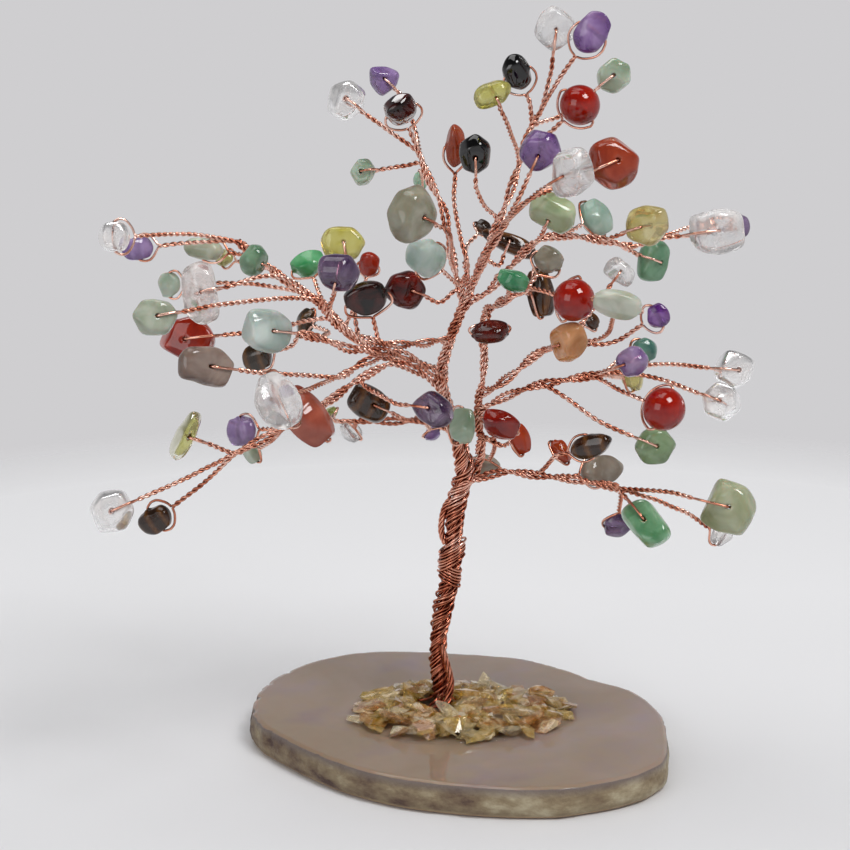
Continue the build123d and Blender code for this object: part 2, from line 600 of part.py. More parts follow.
# The wires' ends that splay from the trunk's foot over the glue, between the first chips
roots = []
for number in range(root_count):
    angle = 2 * pi * (number + 0.5) / root_count
    out = Vector(cos(angle), sin(angle), 0)
    root_run = []
    for out_share, height_share in root_shares:
        reach = trunk_outer + seat_gap + wire + root_reach * out_share
        root_run.append(foot + out * reach + Vector(0, 0, wire / 2 + bed_seat + root_height * height_share))
    roots.append(tube(root_run, wire, end_sides))
with BuildPart() as root_wires:
    add(roots)
root_wires.part.label = "root_wires"
export_step(root_wires.part, "parts/root_wires.step")

# The two stems above the trunk
stem_runs = {
    "trunk": trunk_run,
    "main": [place(*point) for point in main_stem_pixels],
    "right": [place(*point) for point in right_stem_pixels],
}
stem_diameters = {"trunk": 2 * trunk_outer, "main": main_stem, "right": right_stem}
stem_sides = {"trunk": trunk_sides, "main": trunk_sides, "right": limb_sides}
for name in ("main", "right"):
    with BuildPart() as stem:
        add(tube(stem_runs[name], stem_diameters[name], stem_sides[name]))
    stem.part.label = f"{name}_stem"
    export_step(stem.part, f"parts/{name}_stem.step")

# The room that each stem needs, which is cut from the branches that leave it
stem_rooms = {}
for name, run in stem_runs.items():
    beyond = [run[0] - (run[1] - run[0]).normalized() * seat_gap]
    beyond += run[1:-1]
    beyond.append(run[-1] + (run[-1] - run[-2]).normalized() * seat_gap)
    corner = cos(pi / stem_sides[name])
    stem_rooms[name] = tube(beyond, (stem_diameters[name] + 2 * seat_gap) / corner, stem_sides[name])

# The branches: limbs, a twig to each stone and the loop through it, twisted into one
branch_limbs = {}
for name, (carrier, limbs) in branch_pixels.items():
    branch_limbs[name] = [[place(*point) for point in points] for points in limbs]
stones = [Stone(row, branch_limbs[row[2]]) for row in stone_pixels_and_shares]

for name, limbs in branch_limbs.items():
    runs = [tube(points, limb, limb_sides) for points in limbs]
    for stone in stones:
        if stone.branch == name:
            runs.append(tube(stone.start + [stone.twig_end()], twig))
            runs.append(tube(stone.loop(), wire))
    with BuildPart() as branch:
        add(runs)
        add(stem_rooms[branch_pixels[name][0]], mode=Mode.SUBTRACT)
    branch.part.label = name
    export_step(branch.part, f"parts/{name}.step")

# The stones that swing on slack loops are pieces of their own, the rest go by kind
for stone in stones:
    if stone.swing:
        with BuildPart() as bead:
            add(stone.solid())
        name = f"{stone.kind}_bead_{stone.number}"
        bead.part.label = name
        export_step(bead.part, f"parts/{name}.step")

for kind in sorted({stone.kind for stone in stones if not stone.swing}):
    with BuildPart() as chips:
        add([stone.solid() for stone in stones if stone.kind == kind and not stone.swing])
    chips.part.label = f"{kind}_chips"
    export_step(chips.part, f"parts/{kind}_chips.step")
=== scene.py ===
import random
from math import atan, atan2, ceil, cos, degrees, hypot, pi, radians, sin

import bmesh
import bpy
from mathutils import Matrix, Vector, geometry, noise


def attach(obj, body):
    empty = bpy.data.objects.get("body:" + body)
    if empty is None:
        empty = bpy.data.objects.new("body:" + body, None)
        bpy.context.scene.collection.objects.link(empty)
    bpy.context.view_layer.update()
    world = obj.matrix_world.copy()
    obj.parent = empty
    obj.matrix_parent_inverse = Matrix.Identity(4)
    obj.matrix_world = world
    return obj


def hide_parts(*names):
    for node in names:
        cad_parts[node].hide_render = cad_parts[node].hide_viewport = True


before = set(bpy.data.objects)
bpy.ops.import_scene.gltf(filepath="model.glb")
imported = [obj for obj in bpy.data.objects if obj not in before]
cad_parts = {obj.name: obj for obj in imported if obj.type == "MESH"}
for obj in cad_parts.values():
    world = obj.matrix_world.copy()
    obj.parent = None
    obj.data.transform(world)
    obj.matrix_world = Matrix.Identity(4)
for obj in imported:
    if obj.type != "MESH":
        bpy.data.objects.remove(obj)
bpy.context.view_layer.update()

# Gemstone tree ornament: copper wire twisted into a trunk, stems and branches, a drilled and
# tumbled stone in the loop at the end of each twig, in a bed of citrine on a slice of agate.
# Metres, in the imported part's frame: origin under the middle of the slice, -Y to the viewer.

mm = 0.001
tree_body = "tree"

# The picture that the tree is traced from, as the part's source has it
picture_size = 850
pixel = 0.1596 * mm
camera_distance = 384.0 * mm
camera_pitch = radians(14.0)
picture_middle_pixels = (425, 425)
foot_pixels = (443, 703)
foot = Vector((-2.7 * mm, 4.5 * mm, 5.5 * mm))

# The wire and what is twisted from it: a twig is two wires, a limb or a stem is made of such
# pairs, and their numbers along it are evened out over a few steps either way
wire = 0.4 * mm
wire_step = 0.24 * mm
twig_pitches = (1.8 * mm, 2.4 * mm)
twig_sway = 0.16 * mm
twig_sway_length = 4 * mm
merge_length = 3.2 * mm
pair_pitch = 2.1 * mm
limb_pitch = 13.0 * mm
limb_nest = 0.42 * mm
limb_spread = 0.3
most_limb_pairs = 2
stem_pitch = 11.0 * mm
stem_nest = 0.3 * mm
stem_spread = 0.6
stem_pairs = {"main": (6, 3), "right": (3, 2)}
root_length = 1.3 * merge_length
root_steps = 8
easing_steps = 8
fewest_steps = 4

# The loops: how far they stand off a stone that swings and one that doesn't, and down to what
# share of its height they follow its edge
loop_gap = 0.25 * mm
snug_gap = 0.05 * mm
leg_lowest_share = 0.2

# The trunk: 10 wires inside, and 15 laid round them, every third of which stands out a little.
# Each swelling: its size, its span and where it starts
trunk_core = 1.46 * mm
strand_gap = 0.26 * mm
lay_radius = trunk_core / 2 + strand_gap + wire / 2
inner_wires = 10
inner_pitch = 9.0 * mm
trunk_strands = 15
trunk_pitch = 6.4 * mm
raised_every = 3
raised_relief = 0.18 * mm
trunk_lumps_share = 0.08
trunk_lumps = [(1.0, 2.6 * mm, 0.9), (0.6, 1.3 * mm, 2.0)]
eyelet_wires = 5
eyelet_pitch = 4.4 * mm
eyelet_stand = 0.6 * mm

# The stones: their bore, the flats ground off a chip as shares of its reach, the unevenness
# that tumbling leaves, and the shift that gives each stone its own place in a pattern
drilled_hole = 0.56 * mm
stone_sides = 28
chip_bevel_share = 0.36
chip_mouth_share = 0.99
mouth_flare = 1.35
hole_clearance = 1.25
corner_softening = (-0.12, -0.04, 0.04, 0.12)
ground_flats = 9
flat_shares = (0.74, 0.92)
flat_sharpness = 0.95
ground_size_share = 0.99
wear_size = 1.7 * mm
wear_share = 0.04
grain_shift = 7 * mm
# A stone's side from its drilled face to its middle: a bead's in degrees, and a chip's as
# shares of the face, of the bevel beyond it and of the height
bead_angles = (78, 66, 52, 38, 25, 12, 0)
chip_profile_shares = [
    (0.45, 0, 1.0), (0.82, 0, 0.98), (1, 0, 0.9), (1, 0.4, 0.7), (1, 0.82, 0.38), (1, 1, 0.0),
]

trunk_pixels = [
    (443, 703, 0), (438, 650, 0), (441, 618, 0), (450, 575, 0), (453, 545, 0),
    (456, 505, 0), (464, 470, 0), (459, 440, 0),
]
eyelet_low_pixels = (453, 543, 0)
eyelet_high_pixels = (458, 499, 0)
eyelet_shares = [(0, -0.6), (0.14, 0.35), (0.35, 1), (0.62, 1.0), (0.86, 0.45), (1, -0.6)]
main_stem_pixels = [
    (459, 438, 0), (447, 405, 3), (441, 378, 3), (447, 348, 3), (459, 316, 3), (470, 291, 3),
]
right_stem_root_pixels = (462, 492, 3)
right_stem_pixels = [
    (476, 470, 8), (481, 445, -16), (477, 408, -28), (483, 380, -34), (484, 350, -32),
    (482, 326, -30),
]

# Each branch: the stem that carries it, its limbs, each a run of places, and its stones.
# Each stone's row: number, stone, limb and place along it where the twig leaves, places that
# the twig passes, centre of the stone, length along the twig, width across it, its third
# size as a share of the width, outline, roll about the bore, turn of the bore about the
# twig, and how far the stone swings either way on its loop (0 fixed, 180 free).
branch_pixels = {
    "branch_left_high": ("main", [
        [(442, 368, 8), (408, 362, 30), (372, 352, 38), (345, 330, 47), (325, 305, 47),
         (300, 292, 47), (275, 272, 47), (258, 258, 47), (238, 242, 47)],
    ], [
        (1, "quartz", 0, 8.0, [(185, 234, 40)], (114, 237, 20), 36, 30, 0.8, "pebble", 20, 0, 30),
        (2, "amethyst", 0, 8.0, [(190, 243, 62)], (138, 248, 66), 38, 24, 0.8, "drop", 160, 0, 0),
        (3, "jade", 0, 7.0, [(238, 254, 80)], (204, 249, 88), 45, 22, 1.1, "wedge", 0, 0, 0),
        (4, "peridot", 0, 6.0, [(255, 265, 95)], (224, 258, 122), 25, 17, 0.8, "pebble", 0, 0, 0),
        (5, "aventurine", 0, 6.0, [], (254, 260, -2), 36, 35, 0.6, "pebble", 40, 90, 0),
        (6, "jade", 0, 5.0, [(240, 283, 80)], (169, 285, 100), 30, 25, 0.7, "wedge", 30, 0, 0),
        (21, "aventurine", 0, 4.0, [], (308, 264, 92), 32, 35, 0.7, "pebble", 0, 0, 0),
        (24, "carnelian", 0, 3.0, [(362, 295, 38)], (369, 264, 25), 27, 20, 0.8, "block", 0, 0, 0),
    ]),
    "branch_left_front": ("main", [
        [(449, 340, 3), (400, 345, -59), (360, 338, -91), (330, 318, -109), (318, 300, -122)],
    ], [
        (7, "jade", 0, 4.0, [(260, 300, -160), (218, 305, -182)],
         (155, 317, -205), 50, 40, 0.6, "pebble", 10, 90, 0),
        (8, "quartz", 0, 4.0, [(275, 276, -135)],
         (200, 293, -150), 40, 68, 0.5, "block", 5, 90, 0),
        (9, "carnelian", 0, 3.0, [(290, 325, -90), (250, 332, -70)],
         (188, 339, -60), 63, 52, 0.5, "wedge", 15, 90, 20),
        (22, "amethyst", 0, 3.0, [], (339, 271, -170), 46, 46, 0.7, "pebble", 0, 90, 0),
        (23, "peridot", 0, 2.0, [(352, 290, -72)],
         (344, 243, -60), 39, 48, 0.5, "wedge", 0, 90, 0),
        (25, "garnet", 0, 1.5, [], (367, 299, -95), 37, 45, 0.6, "block", 10, 0, 0),
    ]),
    "branch_left_mid": ("main", [
        [(441, 378, -2), (400, 354, -41), (366, 362, -78), (340, 376, -103), (300, 375, -128),
         (262, 373, -153)],
        [(400, 354, -41), (375, 351, -78), (350, 349, -91), (325, 340, -103), (300, 334, -114)],
    ], [
        (10, "agate", 0, 5.0, [], (207, 366, -185), 67, 43, 0.6, "rod", 0, 90, 0),
        (11, "amazonite", 1, 4.0, [], (268, 331, -134), 57, 46, 0.5, "block", 10, 90, 0),
        (12, "tiger_eye", 1, 3.0, [(328, 332, -60)],
         (305, 322, -20), 24, 28, 0.7, "block", 10, 0, 0),
        (13, "tiger_eye", 1, 4.0, [(292, 345, -110)],
         (257, 357, -98), 35, 27, 0.7, "rod", 0, 0, 0),
        (14, "quartz", 0, 3.0, [], (278, 401, -215), 68, 59, 0.55, "wedge", 20, 0, 0),
    ]),
    "branch_left_low": ("main", [
        [(442, 388, 6), (398, 364, -12), (360, 379, -28), (329, 401, -41), (285, 427, -53),
         (236, 453, -66)],
    ], [
        (15, "carnelian", 0, 3.0, [], (306, 416, -115), 45, 65, 0.6, "block", 10, 0, 0),
        (16, "peridot", 0, 5.0, [], (186, 436, -80), 24, 59, 0.5, "rod", 10, 90, 15),
        (17, "amethyst", 0, 4.0, [], (241, 431, -15), 45, 30, 0.7, "pebble", 0, 0, 0),
        (18, "jade", 0, 4.0, [(272, 440, 0)], (252, 453, 38), 27, 21, 0.8, "pebble", 0, 0, 0),
        (19, "quartz", 0, 5.0, [(180, 481, -75)],
         (112, 511, -90), 47, 47, 0.7, "pebble", 25, 90, 30),
        (20, "tiger_eye", 0, 5.0, [(205, 482, -50)],
         (155, 520, -40), 39, 27, 0.7, "block", 0, 0, 20),
        (32, "amethyst", 0, 2.0, [(394, 403, -62)],
         (434, 409, -84), 46, 38, 0.7, "block", 40, 90, 0),
    ]),
    "branch_low_centre": ("main", [
        [(452, 430, 6), (425, 420, 22), (395, 421, 47), (360, 421, 59), (337, 421, 59)],
    ], [
        (29, "peridot", 0, 4.0, [], (331, 413, 100), 20, 14, 0.8, "pebble", 0, 0, 0),
        (30, "tiger_eye", 0, 1.6, [], (369, 403, 14), 52, 36, 0.6, "block", 5, 90, 0),
        (31, "quartz", 0, 3.0, [], (351, 431, 104), 30, 24, 0.8, "pebble", 0, 0, 0),
        (33, "jade", 0, 0.8, [(440, 425, -24)], (463, 426, -40), 34, 36, 0.5, "wedge", 0, 0, 0),
        (34, "amethyst", 0, 1.0, [], (432, 434, 66), 24, 16, 0.8, "pebble", 0, 0, 0),
    ]),
    "branch_upper_left": ("main", [
        [(464, 302, 6), (457, 278, 25), (449, 240, 47), (443, 208, 53), (427, 175, 59),
         (419, 153, 59)],
    ], [
        (26, "garnet", 0, 0.5, [(440, 302, 5)], (405, 289, -20), 47, 42, 0.6, "wedge", 0, 90, 0),
        (27, "jade", 0, 1.0, [(452, 262, -5), (448, 232, -80)],
         (412, 214, -125), 59, 66, 0.5, "pebble", 30, 90, 0),
        (35, "quartz", 0, 5.0, [(385, 128, 65)], (346, 100, 70), 42, 43, 0.7, "pebble", 0, 90, 25),
        (36, "amethyst", 0, 4.6, [(416, 132, 95), (402, 96, 100)],
         (382, 78, 95), 34, 34, 0.7, "drop", 0, 90, 0),
        (37, "garnet", 0, 5.0, [], (401, 110, 45), 37, 33, 0.8, "pebble", 0, 0, 30),
        (38, "jade", 0, 4.5, [(405, 166, 68)], (363, 172, 75), 28, 29, 0.8, "pebble", 0, 90, 30),
        (39, "jade", 0, 4.0, [], (420, 181, 104), 24, 18, 0.8, "pebble", 0, 0, 0),
    ]),
    "branch_crown_left": ("main", [
        [(466, 286, 6), (466, 262, -10), (460, 235, -8), (454, 200, 4), (455, 180, 10)],
    ], [
        (28, "amazonite", 0, 0.5, [(458, 284, -38)], (426, 257, -80), 59, 36, 0.7, "rod", 0, 0, 0),
        (40, "carnelian", 0, 4.0, [], (455, 146, 10), 47, 20, 1.0, "rod", 0, 0, 0),
        (58, "tiger_eye", 0, 1.0, [(467, 246, 30)],
         (484, 228, 58), 18, 18, 0.8, "pebble", 0, 0, 0),
    ]),
    "branch_crown": ("main", [
        [(473, 285, 5), (489, 243, 3), (503, 212, 3), (519, 165, 9), (531, 128, 16),
         (541, 110, 22)],
    ], [
        (41, "onyx", 0, 1.7, [(485, 207, -10), (476, 188, -24)],
         (475, 154, -32), 45, 34, 0.7, "pebble", 0, 90, 0),
        (42, "onyx", 0, 4.0, [(530, 104, 5)], (517, 72, 0), 43, 28, 0.8, "pebble", 0, 0, 25),
        (43, "peridot", 0, 3.0, [(508, 127, -30)],
         (493, 93, -50), 27, 45, 0.5, "wedge", 0, 90, 15),
        (44, "quartz", 0, 5.0, [(551, 72, 25)], (556, 29, 25), 47, 45, 0.6, "wedge", 20, 90, 20),
        (45, "amethyst", 0, 4.5, [(560, 78, -8)], (593, 31, -20), 56, 32, 0.7, "drop", 0, 0, 25),
        (46, "jade", 0, 4.0, [(562, 115, 45), (590, 94, 52)],
         (614, 76, 52), 40, 34, 0.6, "pebble", 0, 90, 30),
        (47, "carnelian", 0, 3.5, [(548, 134, 8)],
         (580, 105, -4), 41, 41, 1.0, "round", 0, 0, 180),
        (57, "tiger_eye", 0, 0.6, [(499, 266, 14)], (509, 243, 27), 21, 66, 0.3, "rod", 0, 90, 0),
    ]),
    "branch_crown_right": ("main", [
        [(472, 283, -8), (480, 268, -28), (487, 253, -50), (506, 222, -91), (522, 204, -116)],
    ], [
        (48, "amethyst", 0, 2.0, [(515, 205, -95)],
         (541, 150, -120), 50, 43, 0.7, "pebble", 0, 90, 0),
        (49, "quartz", 0, 3.0, [(538, 192, -140)],
         (571, 173, -170), 57, 49, 0.6, "block", 0, 90, 0),
        (50, "carnelian", 0, 4.0, [(565, 184, -85)],
         (614, 163, -70), 56, 57, 0.6, "pebble", 0, 90, 0),
    ]),
    "branch_right_high": ("main", [
        [(470, 300, 0), (487, 292, -12), (510, 267, -25), (537, 241, -41), (560, 236, -41),
         (600, 240, -28), (632, 247, -20)],
    ], [
        (51, "jade", 0, 3.0, [], (553, 212, -82), 42, 52, 0.5, "block", 0, 90, 0),
        (52, "amazonite", 0, 4.0, [], (596, 218, 15), 44, 38, 0.7, "pebble", 0, 0, 0),
        (53, "peridot", 0, 5.0, [], (648, 226, -64), 53, 44, 0.6, "wedge", 0, 90, 20),
        (54, "quartz", 0, 6.0, [(665, 238, -8)], (716, 232, 0), 60, 49, 0.7, "block", 0, 90, 20),
        (55, "amethyst", 0, 6.0, [(688, 228, 50)], (738, 227, 68), 32, 27, 0.7, "drop", 0, 0, 0),
        (56, "aventurine", 0, 5.5, [(628, 250, 14)],
         (653, 261, 40), 35, 47, 0.5, "block", 0, 90, 0),
    ]),
    "branch_right_mid": ("right", [
        [(482, 320, -30), (488, 309, -41), (505, 300, -78), (527, 287, -103)],
    ], [
        (59, "agate", 0, 3.0, [], (549, 260, -92), 31, 29, 0.8, "pebble", 0, 0, 0),
        (60, "tiger_eye", 0, 2.5, [], (541, 293, -58), 29, 48, 0.6, "block", 0, 0, 0),
        (61, "carnelian", 0, 3.0, [], (574, 300, -155), 43, 43, 1.0, "round", 0, 0, 180),
        (62, "aventurine", 0, 2.0, [], (513, 280, -126), 28, 32, 0.7, "pebble", 0, 0, 0),
        (68, "garnet", 0, 1.0, [], (490, 333, -72), 29, 38, 0.6, "wedge", 0, 0, 0),
    ]),
    "branch_fan_upper": ("right", [
        [(480, 394, -30), (505, 380, -66), (540, 352, -91), (560, 345, -91)],
    ], [
        (63, "amazonite", 0, 3.0, [(602, 338, -110)],
         (618, 303, -190), 34, 50, 0.6, "fang", 0, 0, 0),
        (64, "quartz", 0, 3.0, [(596, 305, -68)], (620, 272, -62), 24, 35, 0.6, "block", 0, 90, 0),
        (65, "amethyst", 0, 3.0, [(612, 342, -85)],
         (658, 316, -100), 30, 24, 0.7, "drop", 0, 0, 25),
        (66, "agate", 0, 2.0, [], (569, 342, -146), 54, 41, 0.6, "block", 0, 90, 0),
        (67, "tiger_eye", 0, 2.7, [], (592, 321, -48), 17, 17, 0.8, "pebble", 0, 0, 0),
    ]),
    "branch_fan": ("right", [
        [(479, 410, -30), (500, 399, -41), (530, 387, -53), (560, 381, -59), (590, 376, -59),
         (611, 373, -59)],
    ], [
        (69, "amethyst", 0, 4.0, [], (632, 362, -112), 43, 32, 0.7, "pebble", 0, 90, 0),
        (70, "aventurine", 0, 4.5, [(618, 361, -35)],
         (645, 350, -24), 30, 24, 0.8, "pebble", 0, 0, 0),
        (71, "peridot", 0, 4.2, [], (635, 379, 4), 40, 24, 0.8, "drop", 0, 0, 0),
        (72, "quartz", 0, 5.0, [(660, 364, -45)],
         (734, 370, -28), 44, 42, 0.7, "wedge", 0, 90, 20),
        (73, "carnelian", 0, 4.0, [(622, 391, -90)],
         (664, 409, -122), 44, 44, 1.0, "round", 0, 0, 180),
        (74, "aventurine", 0, 2.4, [(600, 422, -70)],
         (655, 446, -70), 42, 42, 0.6, "pebble", 30, 90, 25),
        (85, "quartz", 0, 5.0, [(660, 379, -70)],
         (722, 402, -96), 44, 40, 0.7, "pebble", 0, 90, 0),
    ]),
    "branch_right_low": ("trunk", [
        [(468, 482, -6), (504, 472, -12), (535, 475, -16), (565, 478, -28), (600, 484, -41),
         (618, 488, -41)],
    ], [
        (77, "tiger_eye", 0, 2.0, [(556, 456, -42)], (591, 446, -60), 49, 24, 1.0, "rod", 0, 0, 0),
        (78, "carnelian", 0, 2.0, [], (561, 451, 28), 22, 26, 0.7, "pebble", 0, 0, 0),
        (79, "agate", 0, 3.0, [], (602, 470, 4), 56, 30, 0.8, "rod", 0, 0, 0),
        (80, "amethyst", 0, 5.0, [], (619, 525, 4), 39, 30, 0.7, "pebble", 0, 0, 0),
        (81, "aventurine", 0, 5.0, [], (646, 523, -76), 64, 36, 0.6, "rod", 0, 90, 20),
        (82, "jade", 0, 5.0, [(672, 493, -60)], (729, 507, -72), 56, 56, 0.6, "block", 10, 90, 20),
        (83, "quartz", 0, 5.0, [(680, 510, -20)], (722, 536, 0), 27, 22, 0.8, "pebble", 0, 0, 0),
    ]),
    "branch_low_right": ("right", [
        [(480, 436, -24), (492, 440, -38), (500, 446, -45)],
    ], [
        (75, "carnelian", 0, 1.0, [], (500, 424, -84), 37, 39, 0.7, "block", 0, 0, 0),
        (76, "carnelian", 0, 2.0, [], (519, 439, -18), 26, 31, 0.7, "pebble", 0, 0, 0),
        (84, "agate", 0, 1.0, [(494, 450, 2)], (486, 466, 44), 29, 28, 0.8, "pebble", 0, 0, 0),
    ]),
}

# Outlines of the tumbled chips, as shares of half their length and half their width
outline_shares = {
    "pebble": [(1.0, 0.1), (0.45, 0.95), (-0.55, 0.9), (-1.0, 0.05), (-0.6, -0.9), (0.5, -1.0)],
    "wedge": [(1.0, -0.6), (0.75, 0.5), (-0.1, 1.0), (-1.0, 0.35), (-0.75, -0.9), (0.3, -1.0)],
    "drop": [(1.0, 0.0), (0.25, 0.7), (-0.6, 1.0), (-1.0, 0.2), (-0.7, -0.95), (0.3, -0.75)],
    "block": [(0.95, 0.75), (-0.1, 1.0), (-0.95, 0.8), (-0.9, -0.85), (0.2, -1.0), (1.0, -0.7)],
    "rod": [(1.0, 0.4), (0.7, 0.95), (-0.85, 0.9), (-1.0, -0.3), (-0.7, -0.95), (0.9, -0.85)],
    "fang": [(1.0, 0.25), (0.1, 1.0), (-0.9, 0.7), (-1.0, -0.8), (0.1, -0.7)],
}

# The picture's view: where it is seen from, and its directions
look = Vector((0, cos(camera_pitch), -sin(camera_pitch)))
rise = Vector((0, sin(camera_pitch), cos(camera_pitch)))
across = Vector((1, 0, 0))
focus = camera_distance / pixel


def sight(px, py):
    middle_x, middle_y = picture_middle_pixels
    return look + across * ((px - middle_x) / focus) - rise * ((py - middle_y) / focus)


camera_place = foot - sight(*foot_pixels) * camera_distance


def place(px, py, behind):
    """The point seen at a pixel, that many pixels behind the trunk's foot."""
    line = sight(px, py)
    return camera_place + line * ((foot.y + behind * pixel - camera_place.y) / line.y)


def size_at(point, pixels):
    """What a length of the picture measures at a point."""
    return pixels * (point - camera_place).dot(look) / focus


# Materials
def srgb(code):
    """A hex colour as the linear colour that a node takes."""
    shares = [int(code[start:start + 2], 16) / 255 for start in (1, 3, 5)]
    return [s / 12.92 if s <= 0.04045 else ((s + 0.055) / 1.055) ** 2.4 for s in shares] + [1.0]


def add_node(tree, kind, inputs=None, **settings):
    """Adds a node with its settings, and what each of its sockets holds or is linked to."""
    made = tree.nodes.new("ShaderNode" + kind)
    for name, value in settings.items():
        setattr(made, name, value)
    for socket, value in (inputs or {}).items():
        if isinstance(value, bpy.types.NodeSocket):
            tree.links.new(value, made.inputs[socket])
        else:
            made.inputs[socket].default_value = value
    return made


def add_ramp(tree, share, stops):
    """Adds a colour ramp from its stops, each a place and a hex colour."""
    ramp = add_node(tree, "ValToRGB", {"Fac": share})
    elements = ramp.color_ramp.elements
    while len(elements) < len(stops):
        elements.new(1.0)
    for element, (position, code) in zip(elements, stops):
        element.position = position
        element.color = srgb(code)
    return ramp.outputs["Color"]


def new_material(name):
    material = bpy.data.materials.new(name)
    material.use_nodes = True
    material.node_tree.nodes.clear()
    return material, material.node_tree


def finished(material, shader):
    """Puts the shader on the material's surface."""
    add_node(material.node_tree, "OutputMaterial", {"Surface": shader})
    return material


def drawn_copper():
    """Bare copper wire, drawn through a die: warm pink metal with a light brown tarnish that comes
    and goes along the twists. Its colour is painted darker between the wires as shade, a little
    lighter on their open crowns, and darker towards the foot."""
    material, tree = new_material("drawn_copper_wire")
    here = add_node(tree, "TexCoord").outputs["Object"]
    # Blotches of tarnish a few millimetres long
    tarnish = add_node(tree, "TexNoise", {"Vector": here, "Scale": 1 / (3.5 * mm), "Detail": 3.0})
    # The colour is made darker towards the foot, from 56 mm down to 8 mm
    height = add_node(tree, "SeparateXYZ", {"Vector": here}).outputs["Z"]
    darker_towards_foot = add_node(tree, "MapRange", {
        "Value": height, "From Min": 8 * mm, "From Max": 56 * mm, "To Min": -0.22, "To Max": 0.0,
    })
    # Painted shade: ambient occlusion darkens the colour between the wires and lightens it a little
    # on their open crowns
    openness = add_node(tree, "AmbientOcclusion", {"Distance": 0.35 * mm}, samples=4)
    painted_groove_shade = add_node(tree, "MapRange", {
        "Value": openness.outputs["AO"], "From Min": 0.3, "From Max": 0.9,
        "To Min": -0.3, "To Max": 0.06,
    })
    bright = tarnish.outputs["Fac"]
    for shift in (darker_towards_foot, painted_groove_shade):
        both = {0: bright, 1: shift.outputs["Result"]}
        bright = add_node(tree, "Math", both, operation="ADD").outputs[0]
    # The ramp takes the tarnish, the painted shade between the wires and the darkening towards the
    # foot
    colour = add_ramp(tree, bright, [
        (0.1, "#7A301A"), (0.36, "#C0745A"), (0.5, "#E4A288"), (0.64, "#FBD2C2"),
    ])
    # The die's marks, drawn coarser than they are so that they show
    drawn = add_node(tree, "TexNoise", {
        "Vector": here, "Scale": 1 / (0.25 * mm), "Detail": 2.0,
    }).outputs["Fac"]
    rough = add_node(tree, "MapRange", {"Value": drawn, "To Min": 0.1, "To Max": 0.26})
    bump = add_node(tree, "Bump", {"Height": drawn, "Strength": 0.15, "Distance": 0.02 * mm})
    shader = add_node(tree, "BsdfPrincipled", {
        "Base Color": colour, "Metallic": 1.0, "Roughness": rough.outputs["Result"],
        "Normal": bump.outputs["Normal"],
    })
    return finished(material, shader.outputs["BSDF"])


def stone_places(tree):
    """A stone's own colour and its own coordinates, which its mesh carries."""
    tint = add_node(tree, "Attribute", attribute_name="tint").outputs["Color"]
    grain = add_node(tree, "Attribute", attribute_name="grain").outputs["Vector"]
    return tint, grain


def tumbled(material, colour, height, settings):
    """A tumbled stone's surface: a wet-looking polish over faint waviness."""
    tree = material.node_tree
    bump = add_node(tree, "Bump", {"Height": height, "Strength": 0.25, "Distance": 0.05 * mm})
    shader = add_node(tree, "BsdfPrincipled", {
        "Base Color": colour, "Roughness": 0.07, "IOR": 1.54, "Normal": bump.outputs["Normal"],
    } | settings)
    return finished(material, shader.outputs["BSDF"])


def rock_crystal():
    """Clear quartz, tumbled: glassy and smooth, with soft milky clouds inside it."""
    material, tree = new_material("tumbled_clear_quartz")
    tint, grain = stone_places(tree)
    veil = add_node(tree, "TexNoise", {
        "Vector": grain, "Scale": 1 / (3.0 * mm), "Detail": 3.0, "Distortion": 0.9,
    }).outputs["Fac"]
    milk = add_node(tree, "MapRange", {
        "Value": veil, "From Min": 0.38, "From Max": 0.68,
    }).outputs["Result"]
    clear = add_node(tree, "MapRange", {"Value": milk, "To Min": 0.92, "To Max": 0.5})
    colour = add_node(tree, "MixRGB", {"Fac": milk, "Color1": tint, "Color2": srgb("#F4F0EE")})
    return tumbled(material, colour.outputs["Color"], veil, {
        "Transmission Weight": clear.outputs["Result"], "Roughness": 0.05, "Alpha": 0.9,
    })


def banded(name, size, span, light, dark, settings):
    """A stone whose colour drifts between a darker and a lighter shade of its own, in patches
    of about the size. The span is the range of the pattern's values over which it does."""
    material, tree = new_material(name)
    tint, grain = stone_places(tree)
    drift = add_node(tree, "TexNoise", {
        "Vector": grain, "Scale": 1 / size, "Detail": 3.0, "Distortion": 0.5,
    }).outputs["Fac"]
    share = add_node(tree, "MapRange", {
        "Value": drift, "From Min": span[0], "From Max": span[1],
    }).outputs["Result"]
    darker = add_node(tree, "MixRGB", {
        "Fac": 1.0, "Color1": tint, "Color2": srgb(dark),
    }, blend_type="MULTIPLY")
    lighter = add_node(tree, "MixRGB", {"Fac": 0.35, "Color1": tint, "Color2": srgb(light)})
    colour = add_node(tree, "MixRGB", {
        "Fac": share, "Color1": darker.outputs["Color"], "Color2": lighter.outputs["Color"],
    })
    return tumbled(material, colour.outputs["Color"], drift, settings)


def tiger_eye():
    """Tiger eye, tumbled: silky gold fibres in dark brown stone, in bands across the chip."""
    material, tree = new_material("tumbled_tiger_eye")
    tint, grain = stone_places(tree)
    # Bands 2.4 mm apart: a wave texture repeats every 0.314 at a scale of 1
    bands = add_node(tree, "TexWave", {
        "Vector": grain, "Scale": 0.314 / (2.4 * mm), "Distortion": 2.5, "Detail": 3.0,
        "Detail Scale": 0.6,
    }).outputs["Fac"]
    # Bundles of fibres, as single ones are too fine to show
    silk = add_node(tree, "TexNoise", {
        "Vector": grain, "Scale": 1 / (0.5 * mm), "Detail": 3.0,
    }).outputs["Fac"]
    mixed = add_node(tree, "MixRGB", {"Fac": 0.3, "Color1": bands, "Color2": silk})
    gold = add_ramp(tree, mixed.outputs["Color"], [
        (0.3, "#160C06"), (0.6, "#3A200E"), (0.85, "#6E441A"), (1.0, "#A87430"),
    ])
    colour = add_node(tree, "MixRGB", {"Fac": 0.45, "Color1": gold, "Color2": tint})
    return tumbled(material, colour.outputs["Color"], silk, {
        "Roughness": 0.1, "Coat Weight": 0.2, "Coat Roughness": 0.04,
    })


